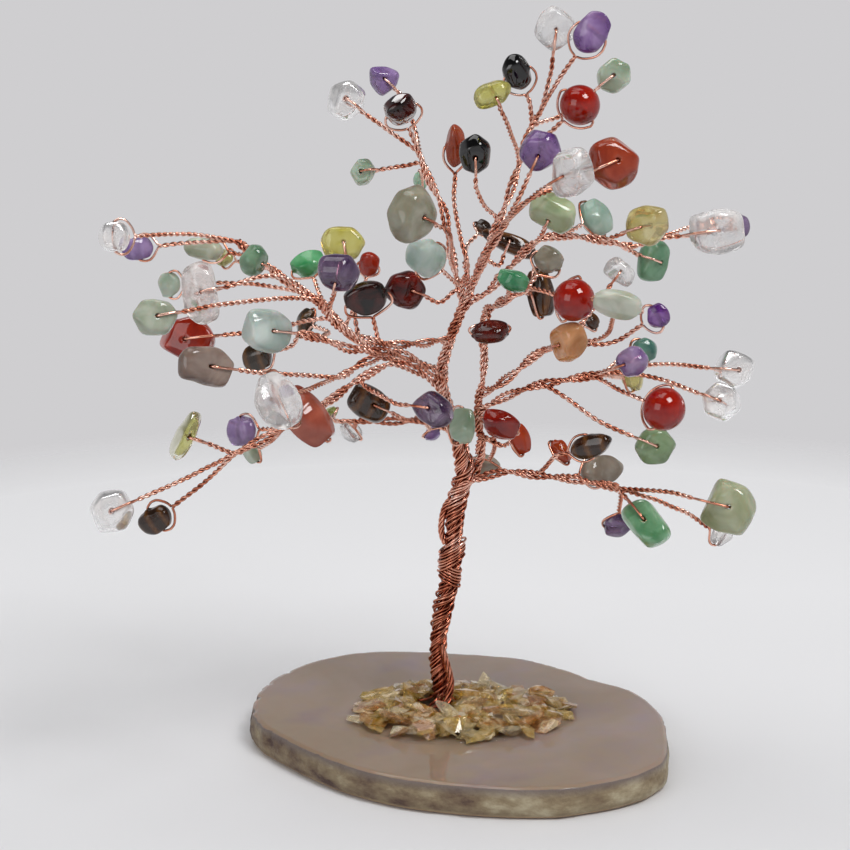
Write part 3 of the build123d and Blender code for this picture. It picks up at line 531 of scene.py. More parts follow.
def polished_agate():
    """Grey-mauve agate, sawn and polished: cloudy and waxy-translucent under a mirror polish,
    paler to its back right, with faint pale veins and tan stains that wander over it."""
    material, tree = new_material("sawn_and_polished_agate")
    here = add_node(tree, "TexCoord").outputs["Object"]
    # Clouds about a third of the slice wide
    cloud = add_node(tree, "TexNoise", {
        "Vector": here, "Scale": 1 / (19 * mm), "Detail": 3.0, "Distortion": 0.6,
    })
    lean = add_node(tree, "VectorMath", {0: here, 1: (3.0, 5.0, 0)}, operation="DOT_PRODUCT")
    share = add_node(tree, "Math", {
        0: cloud.outputs["Fac"], 1: lean.outputs["Value"],
    }, operation="ADD").outputs[0]
    grey = add_ramp(tree, share, [(0.3, "#6E585E"), (0.5, "#7B666E"), (0.7, "#8B7983")])
    # Veins and stains about 9 mm across
    wander = add_node(tree, "TexNoise", {"Vector": here, "Scale": 1 / (9 * mm), "Detail": 4.0})
    depth = add_node(tree, "MapRange", {
        "Value": wander.outputs["Fac"], "To Min": -0.06, "To Max": 0.06,
    }).outputs["Result"]
    lines = add_node(tree, "Math", {0: depth, 1: 60.0}, operation="MULTIPLY").outputs[0]
    veins = add_node(tree, "Math", {0: lines}, operation="SINE").outputs[0]
    faint = add_node(tree, "MapRange", {
        "Value": veins, "From Min": -1.0, "To Min": 0.0, "To Max": 0.12,
    })
    veined = add_node(tree, "MixRGB", {
        "Fac": faint.outputs["Result"], "Color1": grey, "Color2": srgb("#C9BDB2"),
    })
    stain = add_ramp(tree, depth, [(0.0, "#C0C0C0"), (0.03, "#707070"), (0.11, "#000000")])
    colour = add_node(tree, "MixRGB", {
        "Fac": stain, "Color1": veined.outputs["Color"], "Color2": srgb("#A08E6C"),
    })
    shader = add_node(tree, "BsdfPrincipled", {
        "Base Color": colour.outputs["Color"], "Roughness": 0.03, "IOR": 1.54,
        "Subsurface Weight": 0.25, "Subsurface Scale": 2.0 * mm,
    })
    return finished(material, shader.outputs["BSDF"])


def agate_rind():
    """The agate's natural skin, left raw: pitted and matt, olive brown with grey and cream
    patches, darker under the polished edge and pale where it thins at the foot."""
    material, tree = new_material("raw_agate_rind")
    here = add_node(tree, "TexCoord").outputs["Object"]
    drawn_out = add_node(tree, "VectorMath", {
        0: here, 1: (0.6, 0.6, 1.3),
    }, operation="MULTIPLY").outputs["Vector"]
    patches = add_node(tree, "TexNoise", {
        "Vector": drawn_out, "Scale": 1 / (3.2 * mm), "Detail": 6.0, "Roughness": 0.6,
    }).outputs["Fac"]
    lean = add_node(tree, "VectorMath", {0: here, 1: (2.5, 0, 0)}, operation="DOT_PRODUCT")
    share = add_node(tree, "Math", {
        0: patches, 1: lean.outputs["Value"],
    }, operation="ADD").outputs[0]
    skin = add_ramp(tree, share, [
        (0.3, "#4A332A"), (0.4, "#6E5A44"), (0.56, "#8A7A5E"), (0.72, "#AFA388"),
    ])
    height = add_node(tree, "SeparateXYZ", {"Vector": here}).outputs["Z"]
    level = add_node(tree, "MapRange", {"Value": height, "From Max": 5.0 * mm}).outputs["Result"]
    foot_light = add_ramp(tree, level, [(0.0, "#CDA98A"), (0.14, "#9C8A6C"), (0.2, "#000000")])
    foot_share = add_ramp(tree, level, [(0.02, "#FFFFFF"), (0.16, "#000000")])
    low = add_node(tree, "MixRGB", {"Fac": foot_share, "Color1": skin, "Color2": foot_light})
    top_share = add_ramp(tree, level, [(0.66, "#000000"), (0.92, "#FFFFFF")])
    colour = add_node(tree, "MixRGB", {
        "Fac": top_share, "Color1": low.outputs["Color"], "Color2": srgb("#6E615C"),
    })
    pits = add_node(tree, "TexNoise", {"Vector": here, "Scale": 1 / (0.7 * mm), "Detail": 5.0})
    bump = add_node(tree, "Bump", {
        "Height": pits.outputs["Fac"], "Strength": 0.8, "Distance": 0.25 * mm,
    })
    rough = add_node(tree, "MapRange", {"Value": patches, "To Min": 0.75, "To Max": 0.4})
    shader = add_node(tree, "BsdfPrincipled", {
        "Base Color": colour.outputs["Color"], "Roughness": rough.outputs["Result"], "IOR": 1.54,
        "Normal": bump.outputs["Normal"],
    })
    return finished(material, shader.outputs["BSDF"])


def clear_glue():
    """Set clear epoxy, poured: a colourless glossy film with a rounded edge."""
    material, tree = new_material("poured_clear_epoxy")
    here = add_node(tree, "TexCoord").outputs["Object"]
    sag = add_node(tree, "TexNoise", {
        "Vector": here, "Scale": 1 / (3 * mm), "Detail": 2.0,
    }).outputs["Fac"]
    bump = add_node(tree, "Bump", {"Height": sag, "Strength": 0.4, "Distance": 0.2 * mm})
    tone = add_ramp(tree, sag, [(0.3, "#FBF8F0"), (0.7, "#FFFFFF")])
    shader = add_node(tree, "BsdfPrincipled", {
        "Base Color": tone, "Roughness": 0.05, "IOR": 1.5, "Transmission Weight": 1.0,
        "Alpha": 0.25, "Normal": bump.outputs["Normal"],
    })
    return finished(material, shader.outputs["BSDF"])


def crushed_citrine():
    """Citrine, crushed and left sharp: clear splinters of honey and pale yellow that flash on
    their breaks."""
    material, tree = new_material("crushed_citrine")
    tint, grain = stone_places(tree)
    flaws = add_node(tree, "TexNoise", {
        "Vector": grain, "Scale": 1 / (1.8 * mm), "Detail": 3.0, "Distortion": 1.0,
    }).outputs["Fac"]
    share = add_node(tree, "MapRange", {
        "Value": flaws, "From Min": 0.4, "From Max": 0.7,
    }).outputs["Result"]
    colour = add_node(tree, "MixRGB", {"Fac": share, "Color1": tint, "Color2": srgb("#FFEABC")})
    clear = add_node(tree, "MapRange", {"Value": share, "To Min": 0.86, "To Max": 0.5})
    bump = add_node(tree, "Bump", {"Height": flaws, "Strength": 0.3, "Distance": 0.1 * mm})
    shader = add_node(tree, "BsdfPrincipled", {
        "Base Color": colour.outputs["Color"], "Roughness": 0.03, "IOR": 1.55, "Alpha": 0.76,
        "Coat Weight": 1.0, "Transmission Weight": clear.outputs["Result"],
        "Normal": bump.outputs["Normal"],
    })
    return finished(material, shader.outputs["BSDF"])


copper = drawn_copper()
stone_materials = {
    "quartz": rock_crystal(),
    # Amethyst, tumbled: clear violet, deeper where the colour zones lie
    "amethyst": banded("tumbled_amethyst", 3.4 * mm, (0.35, 0.65), "#D8C2DC", "#B49CC0", {
        "Transmission Weight": 0.55, "Roughness": 0.05,
    }),
    # Pale jade, tumbled: waxy and cloudy, lit from inside
    "jade": banded("tumbled_pale_jade", 4.5 * mm, (0.3, 0.7), "#DCE0D4", "#CCD2C8", {
        "Subsurface Weight": 0.35, "Subsurface Scale": 1.5 * mm, "Transmission Weight": 0.12,
    }),
    # Green aventurine, tumbled: grainy green with darker grains and a glassy polish
    "aventurine": banded("tumbled_green_aventurine", 2.8 * mm, (0.3, 0.7), "#A9C8A8", "#BCCEC0", {
        "Subsurface Weight": 0.2, "Subsurface Scale": 1.2 * mm, "Transmission Weight": 0.2,
    }),
    # Amazonite, tumbled: chalky blue-green with white streaks
    "amazonite": banded("tumbled_amazonite", 4.0 * mm, (0.35, 0.75), "#E6EAE8", "#D2DAD6", {
        "Subsurface Weight": 0.3, "Subsurface Scale": 1.2 * mm,
    }),
    # Agate chips, tumbled: smoky and cloudy with soft bands
    "agate": banded("tumbled_grey_agate", 4.2 * mm, (0.3, 0.7), "#CFC4B8", "#BCB0A8", {
        "Subsurface Weight": 0.2, "Subsurface Scale": 1.5 * mm, "Transmission Weight": 0.15,
    }),
    # Carnelian, tumbled and polished: glassy red-orange that glows at its thin edges
    "carnelian": banded("polished_carnelian", 3.4 * mm, (0.3, 0.8), "#C8401C", "#C89488", {
        "Subsurface Weight": 0.12, "Subsurface Scale": 1.5 * mm, "Transmission Weight": 0.3,
        "Roughness": 0.04,
    }),
    # Garnet, tumbled: near-black red that only shows red where light passes
    "garnet": banded("tumbled_garnet", 2.4 * mm, (0.4, 0.75), "#8E2C22", "#7A5A5A", {
        "Transmission Weight": 0.35, "Roughness": 0.05,
    }),
    "tiger_eye": tiger_eye(),
    # Black onyx, tumbled: opaque black under a wet polish, with a few grey clouds
    "onyx": banded("polished_black_onyx", 4.0 * mm, (0.55, 0.9), "#6E6A66", "#70706E", {
        "Coat Weight": 0.5, "Coat Roughness": 0.03,
    }),
    # Peridot and citrine chips, tumbled: clear yellow-green glass with inner haze
    "peridot": banded("tumbled_peridot", 2.8 * mm, (0.35, 0.7), "#F8F4CC", "#E0D8A8", {
        "Transmission Weight": 0.7, "Roughness": 0.05, "Alpha": 0.95,
    }),
}
kind_slots = {
    "quartz": "clear_quartz", "amethyst": "amethyst", "jade": "pale_jade",
    "aventurine": "green_aventurine", "amazonite": "amazonite", "agate": "grey_agate",
    "carnelian": "carnelian", "garnet": "garnet", "tiger_eye": "tiger_eye",
    "onyx": "black_onyx", "peridot": "peridot",
}
# Each kind's usual colour, and the stones that differ from it
kind_colours = {
    "quartz": "#F6F6F6", "amethyst": "#875CA8", "jade": "#A6B4A0", "aventurine": "#5FA076",
    "amazonite": "#B9C8C0", "agate": "#8F8278", "carnelian": "#A81C0A", "garnet": "#4A1410",
    "tiger_eye": "#3E2410", "onyx": "#101012", "peridot": "#D8D470",
}
odd_colours = {
    2: "#B096D0", 3: "#BCC0A8", 4: "#E2E2A0", 5: "#729478", 6: "#BACABA", 7: "#A2AA96",
    8: "#F2E8E4", 9: "#A42810", 10: "#785A4E", 11: "#C0CCC6", 12: "#3C3426", 13: "#40301C",
    15: "#C27A64", 16: "#CCCE78", 17: "#A88CC4", 18: "#9CAC92", 21: "#3FB06A", 22: "#4E2862",
    23: "#DCD65C", 24: "#C03A20", 25: "#2C1A14", 26: "#7A1A12", 27: "#8E846C", 28: "#BCCCC4",
    29: "#C0D080", 32: "#56365E", 33: "#A4BEA4", 34: "#A882D0", 36: "#A282C4", 37: "#2C0F10",
    38: "#A0BCA0", 39: "#8FCBA8", 40: "#B4603A", 43: "#D8D66C", 45: "#B48CD0", 46: "#ACBEA8",
    47: "#B00C06", 48: "#7C3FA0", 50: "#BE6040", 51: "#AABC88", 52: "#98B4A4", 53: "#F2E8B0",
    55: "#76568C", 56: "#7CB08C", 58: "#3A2A1E", 59: "#86826E", 61: "#B00A06", 62: "#3FA270",
    63: "#B8B8A4", 65: "#9450B8", 66: "#F09A38", 67: "#4C2E1A", 68: "#8A3226", 69: "#BA9CD2",
    70: "#4A8280", 71: "#E6DC80", 73: "#B40C06", 74: "#8A9C70", 75: "#A0120C", 76: "#D85824",
    78: "#D0602C", 79: "#9A9080", 80: "#6E4C84", 81: "#74AC80", 82: "#A4A87C", 84: "#A6A292",
}


# Pieces
def kept(piece, body, materials, node):
    """Makes a piece ride on its body and stand for its CAD node."""
    bpy.context.scene.collection.objects.link(piece)
    for material in materials:
        piece.data.materials.append(material)
    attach(piece, body)
    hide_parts(node)


def wires(name, lines, node):
    """A piece of bent wires, each a line of points along its middle."""
    data = bpy.data.curves.new(name, "CURVE")
    data.dimensions = "3D"
    data.bevel_depth = wire / 2
    data.bevel_resolution = 1
    data.use_fill_caps = True
    for line in lines:
        spline = data.splines.new("POLY")
        spline.points.add(len(line) - 1)
        for point, spot in zip(spline.points, line):
            point.co = (*spot, 1.0)
    kept(bpy.data.objects.new(name, data), tree_body, [copper], node)


def mesh_piece(name, bm, body, materials, node, levels=0, smooth=True):
    """Turns a bmesh into a finished piece."""
    bmesh.ops.recalc_face_normals(bm, faces=bm.faces)
    data = bpy.data.meshes.new(name)
    bm.to_mesh(data)
    bm.free()
    data.polygons.foreach_set("use_smooth", [smooth] * len(data.polygons))
    piece = bpy.data.objects.new(name, data)
    kept(piece, body, materials, node)
    if levels:
        softened = piece.modifiers.new("softened", "SUBSURF")
        softened.levels = softened.render_levels = levels


# Lines for the wires to follow. noise_vector has a seed of its own, which has to be fixed for
# the twigs to sway alike each time
noise.seed_set(7)


def ways_along(points):
    """The way that a run of points goes at each of them."""
    befores, afters = [points[0]] + points[:-1], points[1:] + [points[-1]]
    return [(after - before).normalized() for before, after in zip(befores, afters)]


def smooth_run(points, spacing=wire_step):
    """One smooth line through the points, as samples, each with its place along the points."""
    ways = ways_along(points)
    line = []
    for index in range(len(points) - 1):
        start, end = points[index], points[index + 1]
        reach = (end - start).length / 3
        steps = max(2, ceil((end - start).length / spacing))
        bend = geometry.interpolate_bezier(
            start, start + ways[index] * reach, end - ways[index + 1] * reach, end, steps + 1
        )
        line += [(index + step / steps, spot) for step, spot in enumerate(bend[:-1])]
    return line + [(len(points) - 1, points[-1])]


def smooth_spots(points):
    """The samples alone of the smooth line through the points."""
    return [spot for _, spot in smooth_run(points)]


def frames(line, first):
    """Two directions across a line at each of its points, which don't turn about it."""
    made = []
    side = first
    for way in ways_along(line):
        side = (side - way * side.dot(way)).normalized()
        made.append((side, way.cross(side)))
    return made


def wound(line, first, turn_at, radius_at):
    """A strand wound round a line: its turn and its distance out go by the length so far."""
    strand = []
    length = 0.0
    for index, (spot, (side, up)) in enumerate(zip(line, frames(line, first))):
        if index:
            length += (spot - line[index - 1]).length
        turn, radius = turn_at(index, length), radius_at(index, length)
        strand.append(spot + (side * cos(turn) + up * sin(turn)) * radius)
    return strand


def bundle(spots, count, pitch):
    """A ring of wires that touch, laid round a line."""
    radius = wire / 2 / sin(pi / count)
    return [
        wound(
            spots, look,
            lambda _, length: 2 * pi * (number / count + length / pitch),
            lambda *_: radius,
        )
        for number in range(count)
    ]


def pairs(line, counts, pitch, nest, spread, start_turn):
    """The twisted pairs of wires that a limb or stem is made of, wound about each other: as
    many at each of its points as the counts say. One pair alone runs down the middle."""
    eased = []
    for index in range(len(counts)):
        near = counts[max(0, index - easing_steps):index + easing_steps + 1]
        eased.append(sum(near) / len(near))
    spots = [spot for _, spot in line]
    strands = []
    for number in range(ceil(max(eased))):
        reached = [index for index, count in enumerate(eased) if count >= number + 0.5]
        last = max(reached, default=0) + 1
        if last < fewest_steps:
            continue
        middle = wound(
            spots[:last], look,
            lambda index, length: start_turn + 2 * pi * (number / eased[index] + length / pitch),
            lambda index, _: nest * min(1.0, max(0.0, eased[index] - 1))
            * max(1.0, eased[index] - 1) ** spread,
        )
        for side in (0.0, pi):
            strands.append(wound(
                middle, look,
                lambda _, length: side + start_turn + number + 2 * pi * length / pair_pitch,
                lambda *_: wire / 2,
            ))
    return strands


# The stones
def profile(stone):
    """How far out and how high a stone's surface lies, as shares, from its drilled face to
    its middle."""
    if stone.outline == "round":
        return [(cos(radians(angle)), sin(radians(angle))) for angle in bead_angles]
    face = 1 - stone.bevel / (min(stone.length, stone.width) / 2)
    return [
        (face_share * face + bevel_share * (1 - face), high)
        for face_share, bevel_share, high in chip_profile_shares
    ]


class Stone:
    """Where a stone sits at the end of its twig, and the loop of wire through it."""

    def __init__(self, row, branch, limb_lines):
        self.number, self.kind, self.limb_number, self.leaves, passes, centre = row[:6]
        length, width, third_share, self.outline, self.roll, turn, self.swing = row[6:]
        self.branch = branch
        self.centre = place(*centre)
        line = limb_lines[self.limb_number]
        leave = min(range(len(line)), key=lambda index: abs(line[index][0] - self.leaves))
        merge = max(0, leave - int(merge_length / wire_step))
        self.start = [line[leave][1]] + [place(*point) for point in passes]
        self.merge = line[merge][1]
        self.out = (self.centre - self.start[-1]).normalized()
        side = self.out.cross(look).normalized()
        face = side.cross(self.out)
        self.bore = side * cos(radians(turn)) + face * sin(radians(turn))
        third = width * third_share
        self.length = size_at(self.centre, length)
        self.thickness = size_at(self.centre, width if turn < 45 else third)
        self.width = size_at(self.centre, third if turn < 45 else width)
        self.bevel = chip_bevel_share * min(self.length, self.width, self.thickness) / 2
        self.clear = wire / 2 + (loop_gap if self.swing else snug_gap)

    def corners(self):
        """The outline's corners, out along the twig and across it."""
        turned = []
        for out_share, side_share in outline_shares[self.outline]:
            corner = Vector((out_share * self.length / 2, side_share * self.width / 2))
            turned.append(Matrix.Rotation(radians(self.roll), 2) @ corner)
        return turned

    def reach(self):
        """How far the stone comes back towards its twig, over its whole swing."""
        if self.outline == "round":
            return self.length / 2
        reaches = []
        for x, y in self.corners():
            off = abs(degrees(atan2(y, -x)))
            reaches.append(hypot(x, y) * cos(radians(max(0, off - self.swing))))
        return max(reaches)

    def wire_line(self):
        """The stone's one wire: a strand along the twig, through the bore and back."""
        random.seed(self.number)
        pitch = random.uniform(*twig_pitches)
        end = self.centre - self.out * (self.reach() + wire / 2 + loop_gap)
        run = smooth_spots([self.merge] + self.start + [end])
        swayed = []
        for index, spot in enumerate(run):
            share = sin(pi * index / (len(run) - 1))
            drift = noise.noise_vector(spot / twig_sway_length + Vector((self.number, 0, 0)))
            swayed.append(spot + drift * (twig_sway * share))
        strands = [
            wound(
                swayed[::-1], self.bore,
                lambda _, length: side + 2 * pi * length / pitch, lambda *_: wire / 2,
            )
            for side in (pi, 0.0)
        ]
        loop = [strands[0][0]] + self.leg(-1)[::-1] + self.leg(1) + [strands[1][0]]
        return strands[0][::-1] + smooth_spots(loop)[1:-1] + strands[1]

    def leg(self, way):
        """One leg of the loop: out of the bore's mouth, then close round the stone's edge."""
        leg = [self.centre + self.bore * (way * (self.thickness / 2 - wire / 2))]
        for out, high in profile(self):
            if high < leg_lowest_share:
                break
            lean = (out / hypot(out, high), high / hypot(out, high))
            back = max(self.reach() * out, 0.0) + self.clear * lean[0]
            up = self.thickness / 2 * high + self.clear * lean[1]
            leg.append(self.centre - self.out * back + self.bore * (way * up))
        return leg


def outline_reach(corners, angle):
    """How far the outline lies from its middle in one direction, with its corners softened."""
    reaches = []
    for off in corner_softening:
        far = Vector((cos(angle + off), sin(angle + off)))
        hits = [
            geometry.intersect_line_line_2d(Vector((0, 0)), far, start, end)
            for start, end in zip(corners, corners[1:] + corners[:1])
        ]
        reaches.append(max(hit.length for hit in hits if hit))
    return sum(reaches) / len(reaches)


def ring_edges(bm, ring):
    """The edges that join a closed ring of points."""
    return [bm.edges.get(pair) for pair in zip(ring, ring[1:] + ring[:1])]


def next_ring(bm, ring, places):
    """Extrudes a closed ring of points to the next ring's places."""
    made = bmesh.ops.extrude_edge_only(bm, edges=ring_edges(bm, ring))["geom"]
    fresh = {each for each in made if isinstance(each, bmesh.types.BMVert)}
    grown = []
    for old, spot in zip(ring, places):
        new = next(edge.other_vert(old) for edge in old.link_edges if edge.other_vert(old) in fresh)
        new.co = spot
        grown.append(new)
    return grown


def grind(verts, stone):
    """Wears a chip: a few flats ground off it, then the small unevenness that tumbling leaves."""
    outer_verts = [vert for vert in verts if vert.co.xy.length > drilled_hole]
    rooms = [vert.co.length for vert in outer_verts]
    for _ in range(ground_flats):
        way = Vector([random.gauss(0, 1) for _ in range(3)]).normalized()
        flat = max(vert.co.dot(way) for vert in verts) * random.uniform(*flat_shares)
        for vert in outer_verts:
            excess = vert.co.dot(way) - flat
            if excess > 0:
                vert.co -= way * (excess * flat_sharpness)
    seed = Vector((stone.number, 3, 5))
    for vert in outer_verts:
        vert.co *= 1 + noise.noise(vert.co / wear_size + seed) * wear_share
    # What the flats took off the chip's length and width is given back, as far as the room goes
    for axis, size in enumerate((stone.length, stone.width)):
        reaches = [vert.co[axis] for vert in outer_verts]
        middle = (max(reaches) + min(reaches)) / 2
        for vert in outer_verts:
            spread = max(reaches) - min(reaches)
            vert.co[axis] = (vert.co[axis] - middle) * ground_size_share * size / spread
    for vert, room in zip(outer_verts, rooms):
        vert.co *= min(1.0, room / vert.co.length)


def stone_mesh(bm, stone, tints, grains):
    """Adds one drilled stone: rings from one mouth of its bore to the other, ground and worn."""
    random.seed(stone.number)
    start = len(bm.verts)
    half = stone.thickness / 2
    hole = drilled_hole / 2
    circle = bmesh.ops.create_circle(bm, segments=stone_sides, radius=hole)["verts"]
    ring = sorted(circle, key=lambda vert: atan2(vert.co.y, vert.co.x))
    angles = [atan2(vert.co.y, vert.co.x) for vert in ring]
    if stone.outline == "round":
        reaches = [stone.length / 2] * stone_sides
        mouth = (half**2 - hole**2) ** 0.5
    else:
        reaches = [outline_reach(stone.corners(), angle) for angle in angles]
        mouth = half * chip_mouth_share
    for vert in ring:
        vert.co.z = mouth
    first = ring
    down = profile(stone)
    mouth_ring = (mouth_flare * hole / min(reaches), mouth / half)
    over = [mouth_ring] + down
    under = [(out, -high) for out, high in down[-2::-1] + [mouth_ring]]
    for out, high in over + under:
        spots = []
        for angle, reach in zip(angles, reaches):
            far = max(reach * out, hole * hole_clearance)
            spots.append(Vector((far * cos(angle), far * sin(angle), high * half)))
        ring = next_ring(bm, ring, spots)
    ring = next_ring(bm, ring, [Vector((hole * cos(a), hole * sin(a), -mouth)) for a in angles])
    bmesh.ops.bridge_loops(bm, edges=ring_edges(bm, first) + ring_edges(bm, ring))
    bm.verts.ensure_lookup_table()
    verts = bm.verts[start:]
    if stone.outline != "round":
        grind(verts, stone)
    axes = (stone.out, stone.bore.cross(stone.out), stone.bore)
    setting = Matrix(axes).transposed().to_4x4()
    setting.translation = stone.centre
    shift = Vector((stone.number * grain_shift, 0, 0))
    tint = srgb(odd_colours.get(stone.number, kind_colours[stone.kind]))
    for vert in verts:
        vert[grains] = vert.co + shift
        vert[tints] = tint
        vert.co = setting @ vert.co


def stone_piece(name, stones_here, body, node):
    """One piece of drilled stones of a kind."""
    bm = bmesh.new()
    tints = bm.verts.layers.float_color.new("tint")
    grains = bm.verts.layers.float_vector.new("grain")
    for stone in stones_here:
        stone_mesh(bm, stone, tints, grains)
    kind = stones_here[0].kind
    mesh_piece(name, bm, body, [stone_materials[kind]], node, levels=1)


# The camera, at the photograph's viewing angle
camera = bpy.data.objects.new("camera", bpy.data.cameras.new("camera"))
camera.data.sensor_fit = "HORIZONTAL"
camera.data.angle = 2 * atan(picture_size / 2 / focus)
camera.data.clip_start = 10 * mm
camera.location = camera_place
camera.rotation_euler = (pi / 2 - camera_pitch, 0, 0)
bpy.context.scene.collection.objects.link(camera)
bpy.context.scene.camera = camera

# The stems and branches: where they run, and the stones that the branches carry
stem_points = {
    "trunk": [place(*point) for point in trunk_pixels],
    "main": [place(*point) for point in main_stem_pixels],
    "right": [place(*point) for point in right_stem_pixels],
}
stem_lines = {name: smooth_run(points) for name, points in stem_points.items()}
branch_lines = {
    name: [smooth_run([place(*point) for point in points]) for points in limbs]
    for name, (_, limbs, _) in branch_pixels.items()
}
stones = [
    Stone(row, name, branch_lines[name])
    for name, (_, _, rows) in branch_pixels.items()
    for row in rows
]
stones.sort(key=lambda stone: stone.number)

for branch_number, (name, (carrier, _, _)) in enumerate(branch_pixels.items()):
    lines = []
    for limb_number, limb_line in enumerate(branch_lines[name]):
        leaving = [s.leaves for s in stones if s.branch == name and s.limb_number == limb_number]
        if limb_number == 0:
            # The limb's wires come out of the stem from a little further down
            first = limb_line[0][1]
            carried = stem_lines[carrier]
            nearest = min(
                range(len(carried)), key=lambda index: (carried[index][1] - first).length
            )
            below = carried[max(0, nearest - int(root_length / wire_step))][1]
            root = smooth_run([below, first, limb_line[root_steps][1]])
            limb_line = [(0, spot) for at, spot in root if at < 1] + limb_line
        counts = [
            min(most_limb_pairs, max(1, sum(leaves >= at for leaves in leaving)))
            for at, _ in limb_line
        ]
        lines += pairs(limb_line, counts, limb_pitch, limb_nest, limb_spread, branch_number)
    lines += [stone.wire_line() for stone in stones if stone.branch == name]
    wires(f"{name}_wires", lines, name)

# The two stems: twisted pairs wound loosely together, fewer towards the top, and in the main
# one a pair down its middle
stem_lines["right"] = smooth_run([place(*right_stem_root_pixels)] + stem_points["right"])
for stem, (most, least) in stem_pairs.items():
    line = stem_lines[stem]
    counts = [most + (least - most) * index / len(line) for index in range(len(line))]
    lines = pairs(line, counts, stem_pitch, stem_nest, stem_spread, 0.4)
    if stem == "main":
        lines += pairs(line, [1] * len(line), stem_pitch, stem_nest, stem_spread, 1.0)
    wires(f"{stem}_stem_wires", lines, f"{stem}_stem")

# The trunk: an inner bundle, and the outer wires laid tight and uneven round it. They wander in
# their turn and in their distance out, each by a size and over a span
turn_wander = (0.35, 4.2 * mm)
out_wander = (0.1 * mm, 3.1 * mm)
trunk_spots = [spot for _, spot in stem_lines["trunk"]]
wires("trunk_inner_wires", bundle(trunk_spots, inner_wires, inner_pitch), "trunk_core")


def wave(length, amount, span, start):
    """A swell of some size that comes back along a length, from where it starts."""
    return amount * sin(length / span + start)


def strand_out(number, length, sway):
    """An outer wire's distance out, with the swellings that the hand-twisted bundle has."""
    lumps = sum(wave(length, *lump) for lump in trunk_lumps)
    raised = raised_relief * cos(2 * pi * number / raised_every)
    wander = wave(length, *out_wander, 40 * sway)
    return lay_radius * (1 + trunk_lumps_share * lumps) + raised + wander


outer = []
for number in range(trunk_strands):
    sway = noise.noise(Vector((number * 3.7, 0, 0)))
    outer.append(wound(
        trunk_spots, look,
        lambda _, length: 2 * pi * (number / trunk_strands + length / trunk_pitch)
        + wave(length, *turn_wander, 9 * sway),
        lambda _, length: strand_out(number, length, sway),
    ))
wires("trunk_outer_wires", outer, "trunk_strands")

# The wrap at the trunk's waist: one wire, wound in two bands that slant opposite ways. Each
# band: its slant, where on the way up it starts, and how many wires out it lies
wrap_low = place(451, 581, 0)
wrap_high = place(454, 546, 0)
wrap_axis = (wrap_high - wrap_low).normalized()
wrap_side = wrap_axis.cross(look).normalized()
wrap_front = wrap_axis.cross(wrap_side)
wrap_bands = [(-0.5, 0.0, 1.1), (0.7, 0.52, 1.7)]
wrap_band_share = 0.52
wrap_turns = 6
wrap_turn_steps = 24
wrap_uneven_share = 0.18
wrap_shift = 0.25 * mm
wrap_lines = []
for slant_share, start_share, layer in wrap_bands:
    wrap_line = []
    for step in range(wrap_turns * wrap_turn_steps + 1):
        angle = 2 * pi * step / wrap_turn_steps
        climb = step / (wrap_turns * wrap_turn_steps)
        uneven = 1 + wrap_uneven_share * sin(0.37 * angle + 1)
        radius = lay_radius + layer * wire * uneven
        out = wrap_side * cos(angle) + wrap_front * sin(angle)
        slant = -slant_share * radius * cos(angle)
        climbed = (wrap_high - wrap_low).length * (start_share + wrap_band_share * climb)
        spot = wrap_low + out * radius + wrap_axis * (climbed + slant)
        wrap_line.append(spot - across * wrap_shift)
    wrap_lines.append(wrap_line)
wires("trunk_wrap_wire", wrap_lines, "trunk_wrap")

# The eyelet: a few of the trunk's wires that stand off its left side above the wrap
low, high = place(*eyelet_low_pixels), place(*eyelet_high_pixels)
eyelet_points = []
for height_share, out_share in eyelet_shares:
    off = lay_radius + 0.8 * wire + eyelet_stand * out_share
    behind = 0.5 * mm * out_share - 0.3 * mm
    eyelet_points.append(low + (high - low) * height_share - across * off + look * behind)
eyelet = bundle(smooth_spots(eyelet_points), eyelet_wires, eyelet_pitch)
wires("trunk_eyelet_wires", eyelet, "trunk_eyelet")

# The wires' ends that splay from the trunk's foot in the bed
root_count = 7
root_reaches = (2.6, 4.8)
up = Vector((0, 0, 1))
roots = []
random.seed(31)
for number in range(root_count):
    angle = 2 * pi * (number + 0.5) / root_count
    out = Vector((cos(angle), sin(angle), 0))
    aside = Vector((-sin(angle), cos(angle), 0))
    reach = random.uniform(*root_reaches) * mm
    midway = aside * random.uniform(-0.7, 0.7) * mm
    tip = aside * random.uniform(-1.5, 1.5) * mm
    roots.append(smooth_spots([
        foot + out * lay_radius * 0.6 + up * (2.6 * mm),
        foot + out * (lay_radius + wire) + up * (1.2 * mm),
        foot + out * (lay_radius + 0.5 * reach) + midway + up * (0.6 * mm),
        foot + out * (lay_radius + reach) + tip + up * wire,
    ]))
# One more comes out in front and curls over, a turn and a half of 18 steps each
curl_middle = place(436, 711, -34)
curl_radius = 0.7 * mm
curl = []
for step in range(26):
    angle = 2 * pi * step / 18 + 2.4
    way = Vector((cos(angle), 0.5 * sin(angle), 0.8 * sin(angle)))
    curl.append(curl_middle + way * curl_radius)
curl_start = [
    foot + Vector((0, -0.8 * mm, 2.8 * mm)), foot + Vector((-0.2 * mm, -2.6 * mm, 1.8 * mm)),
    curl[0],
]
roots.append(smooth_spots(curl_start) + curl[1:])
# A few of the trunk's wires belly out to the right above the foot and close in again below it
belly_pixels = [
    (441, 645, -8), (447, 664, -11), (451, 682, -14), (449, 697, -18), (443, 709, -24),
]
belly_wires = 5
belly_pitch = 7.0 * mm
belly = smooth_spots([place(*point) for point in belly_pixels])
roots += bundle(belly, belly_wires, belly_pitch)
wires("root_wire_ends", roots, "root_wires")

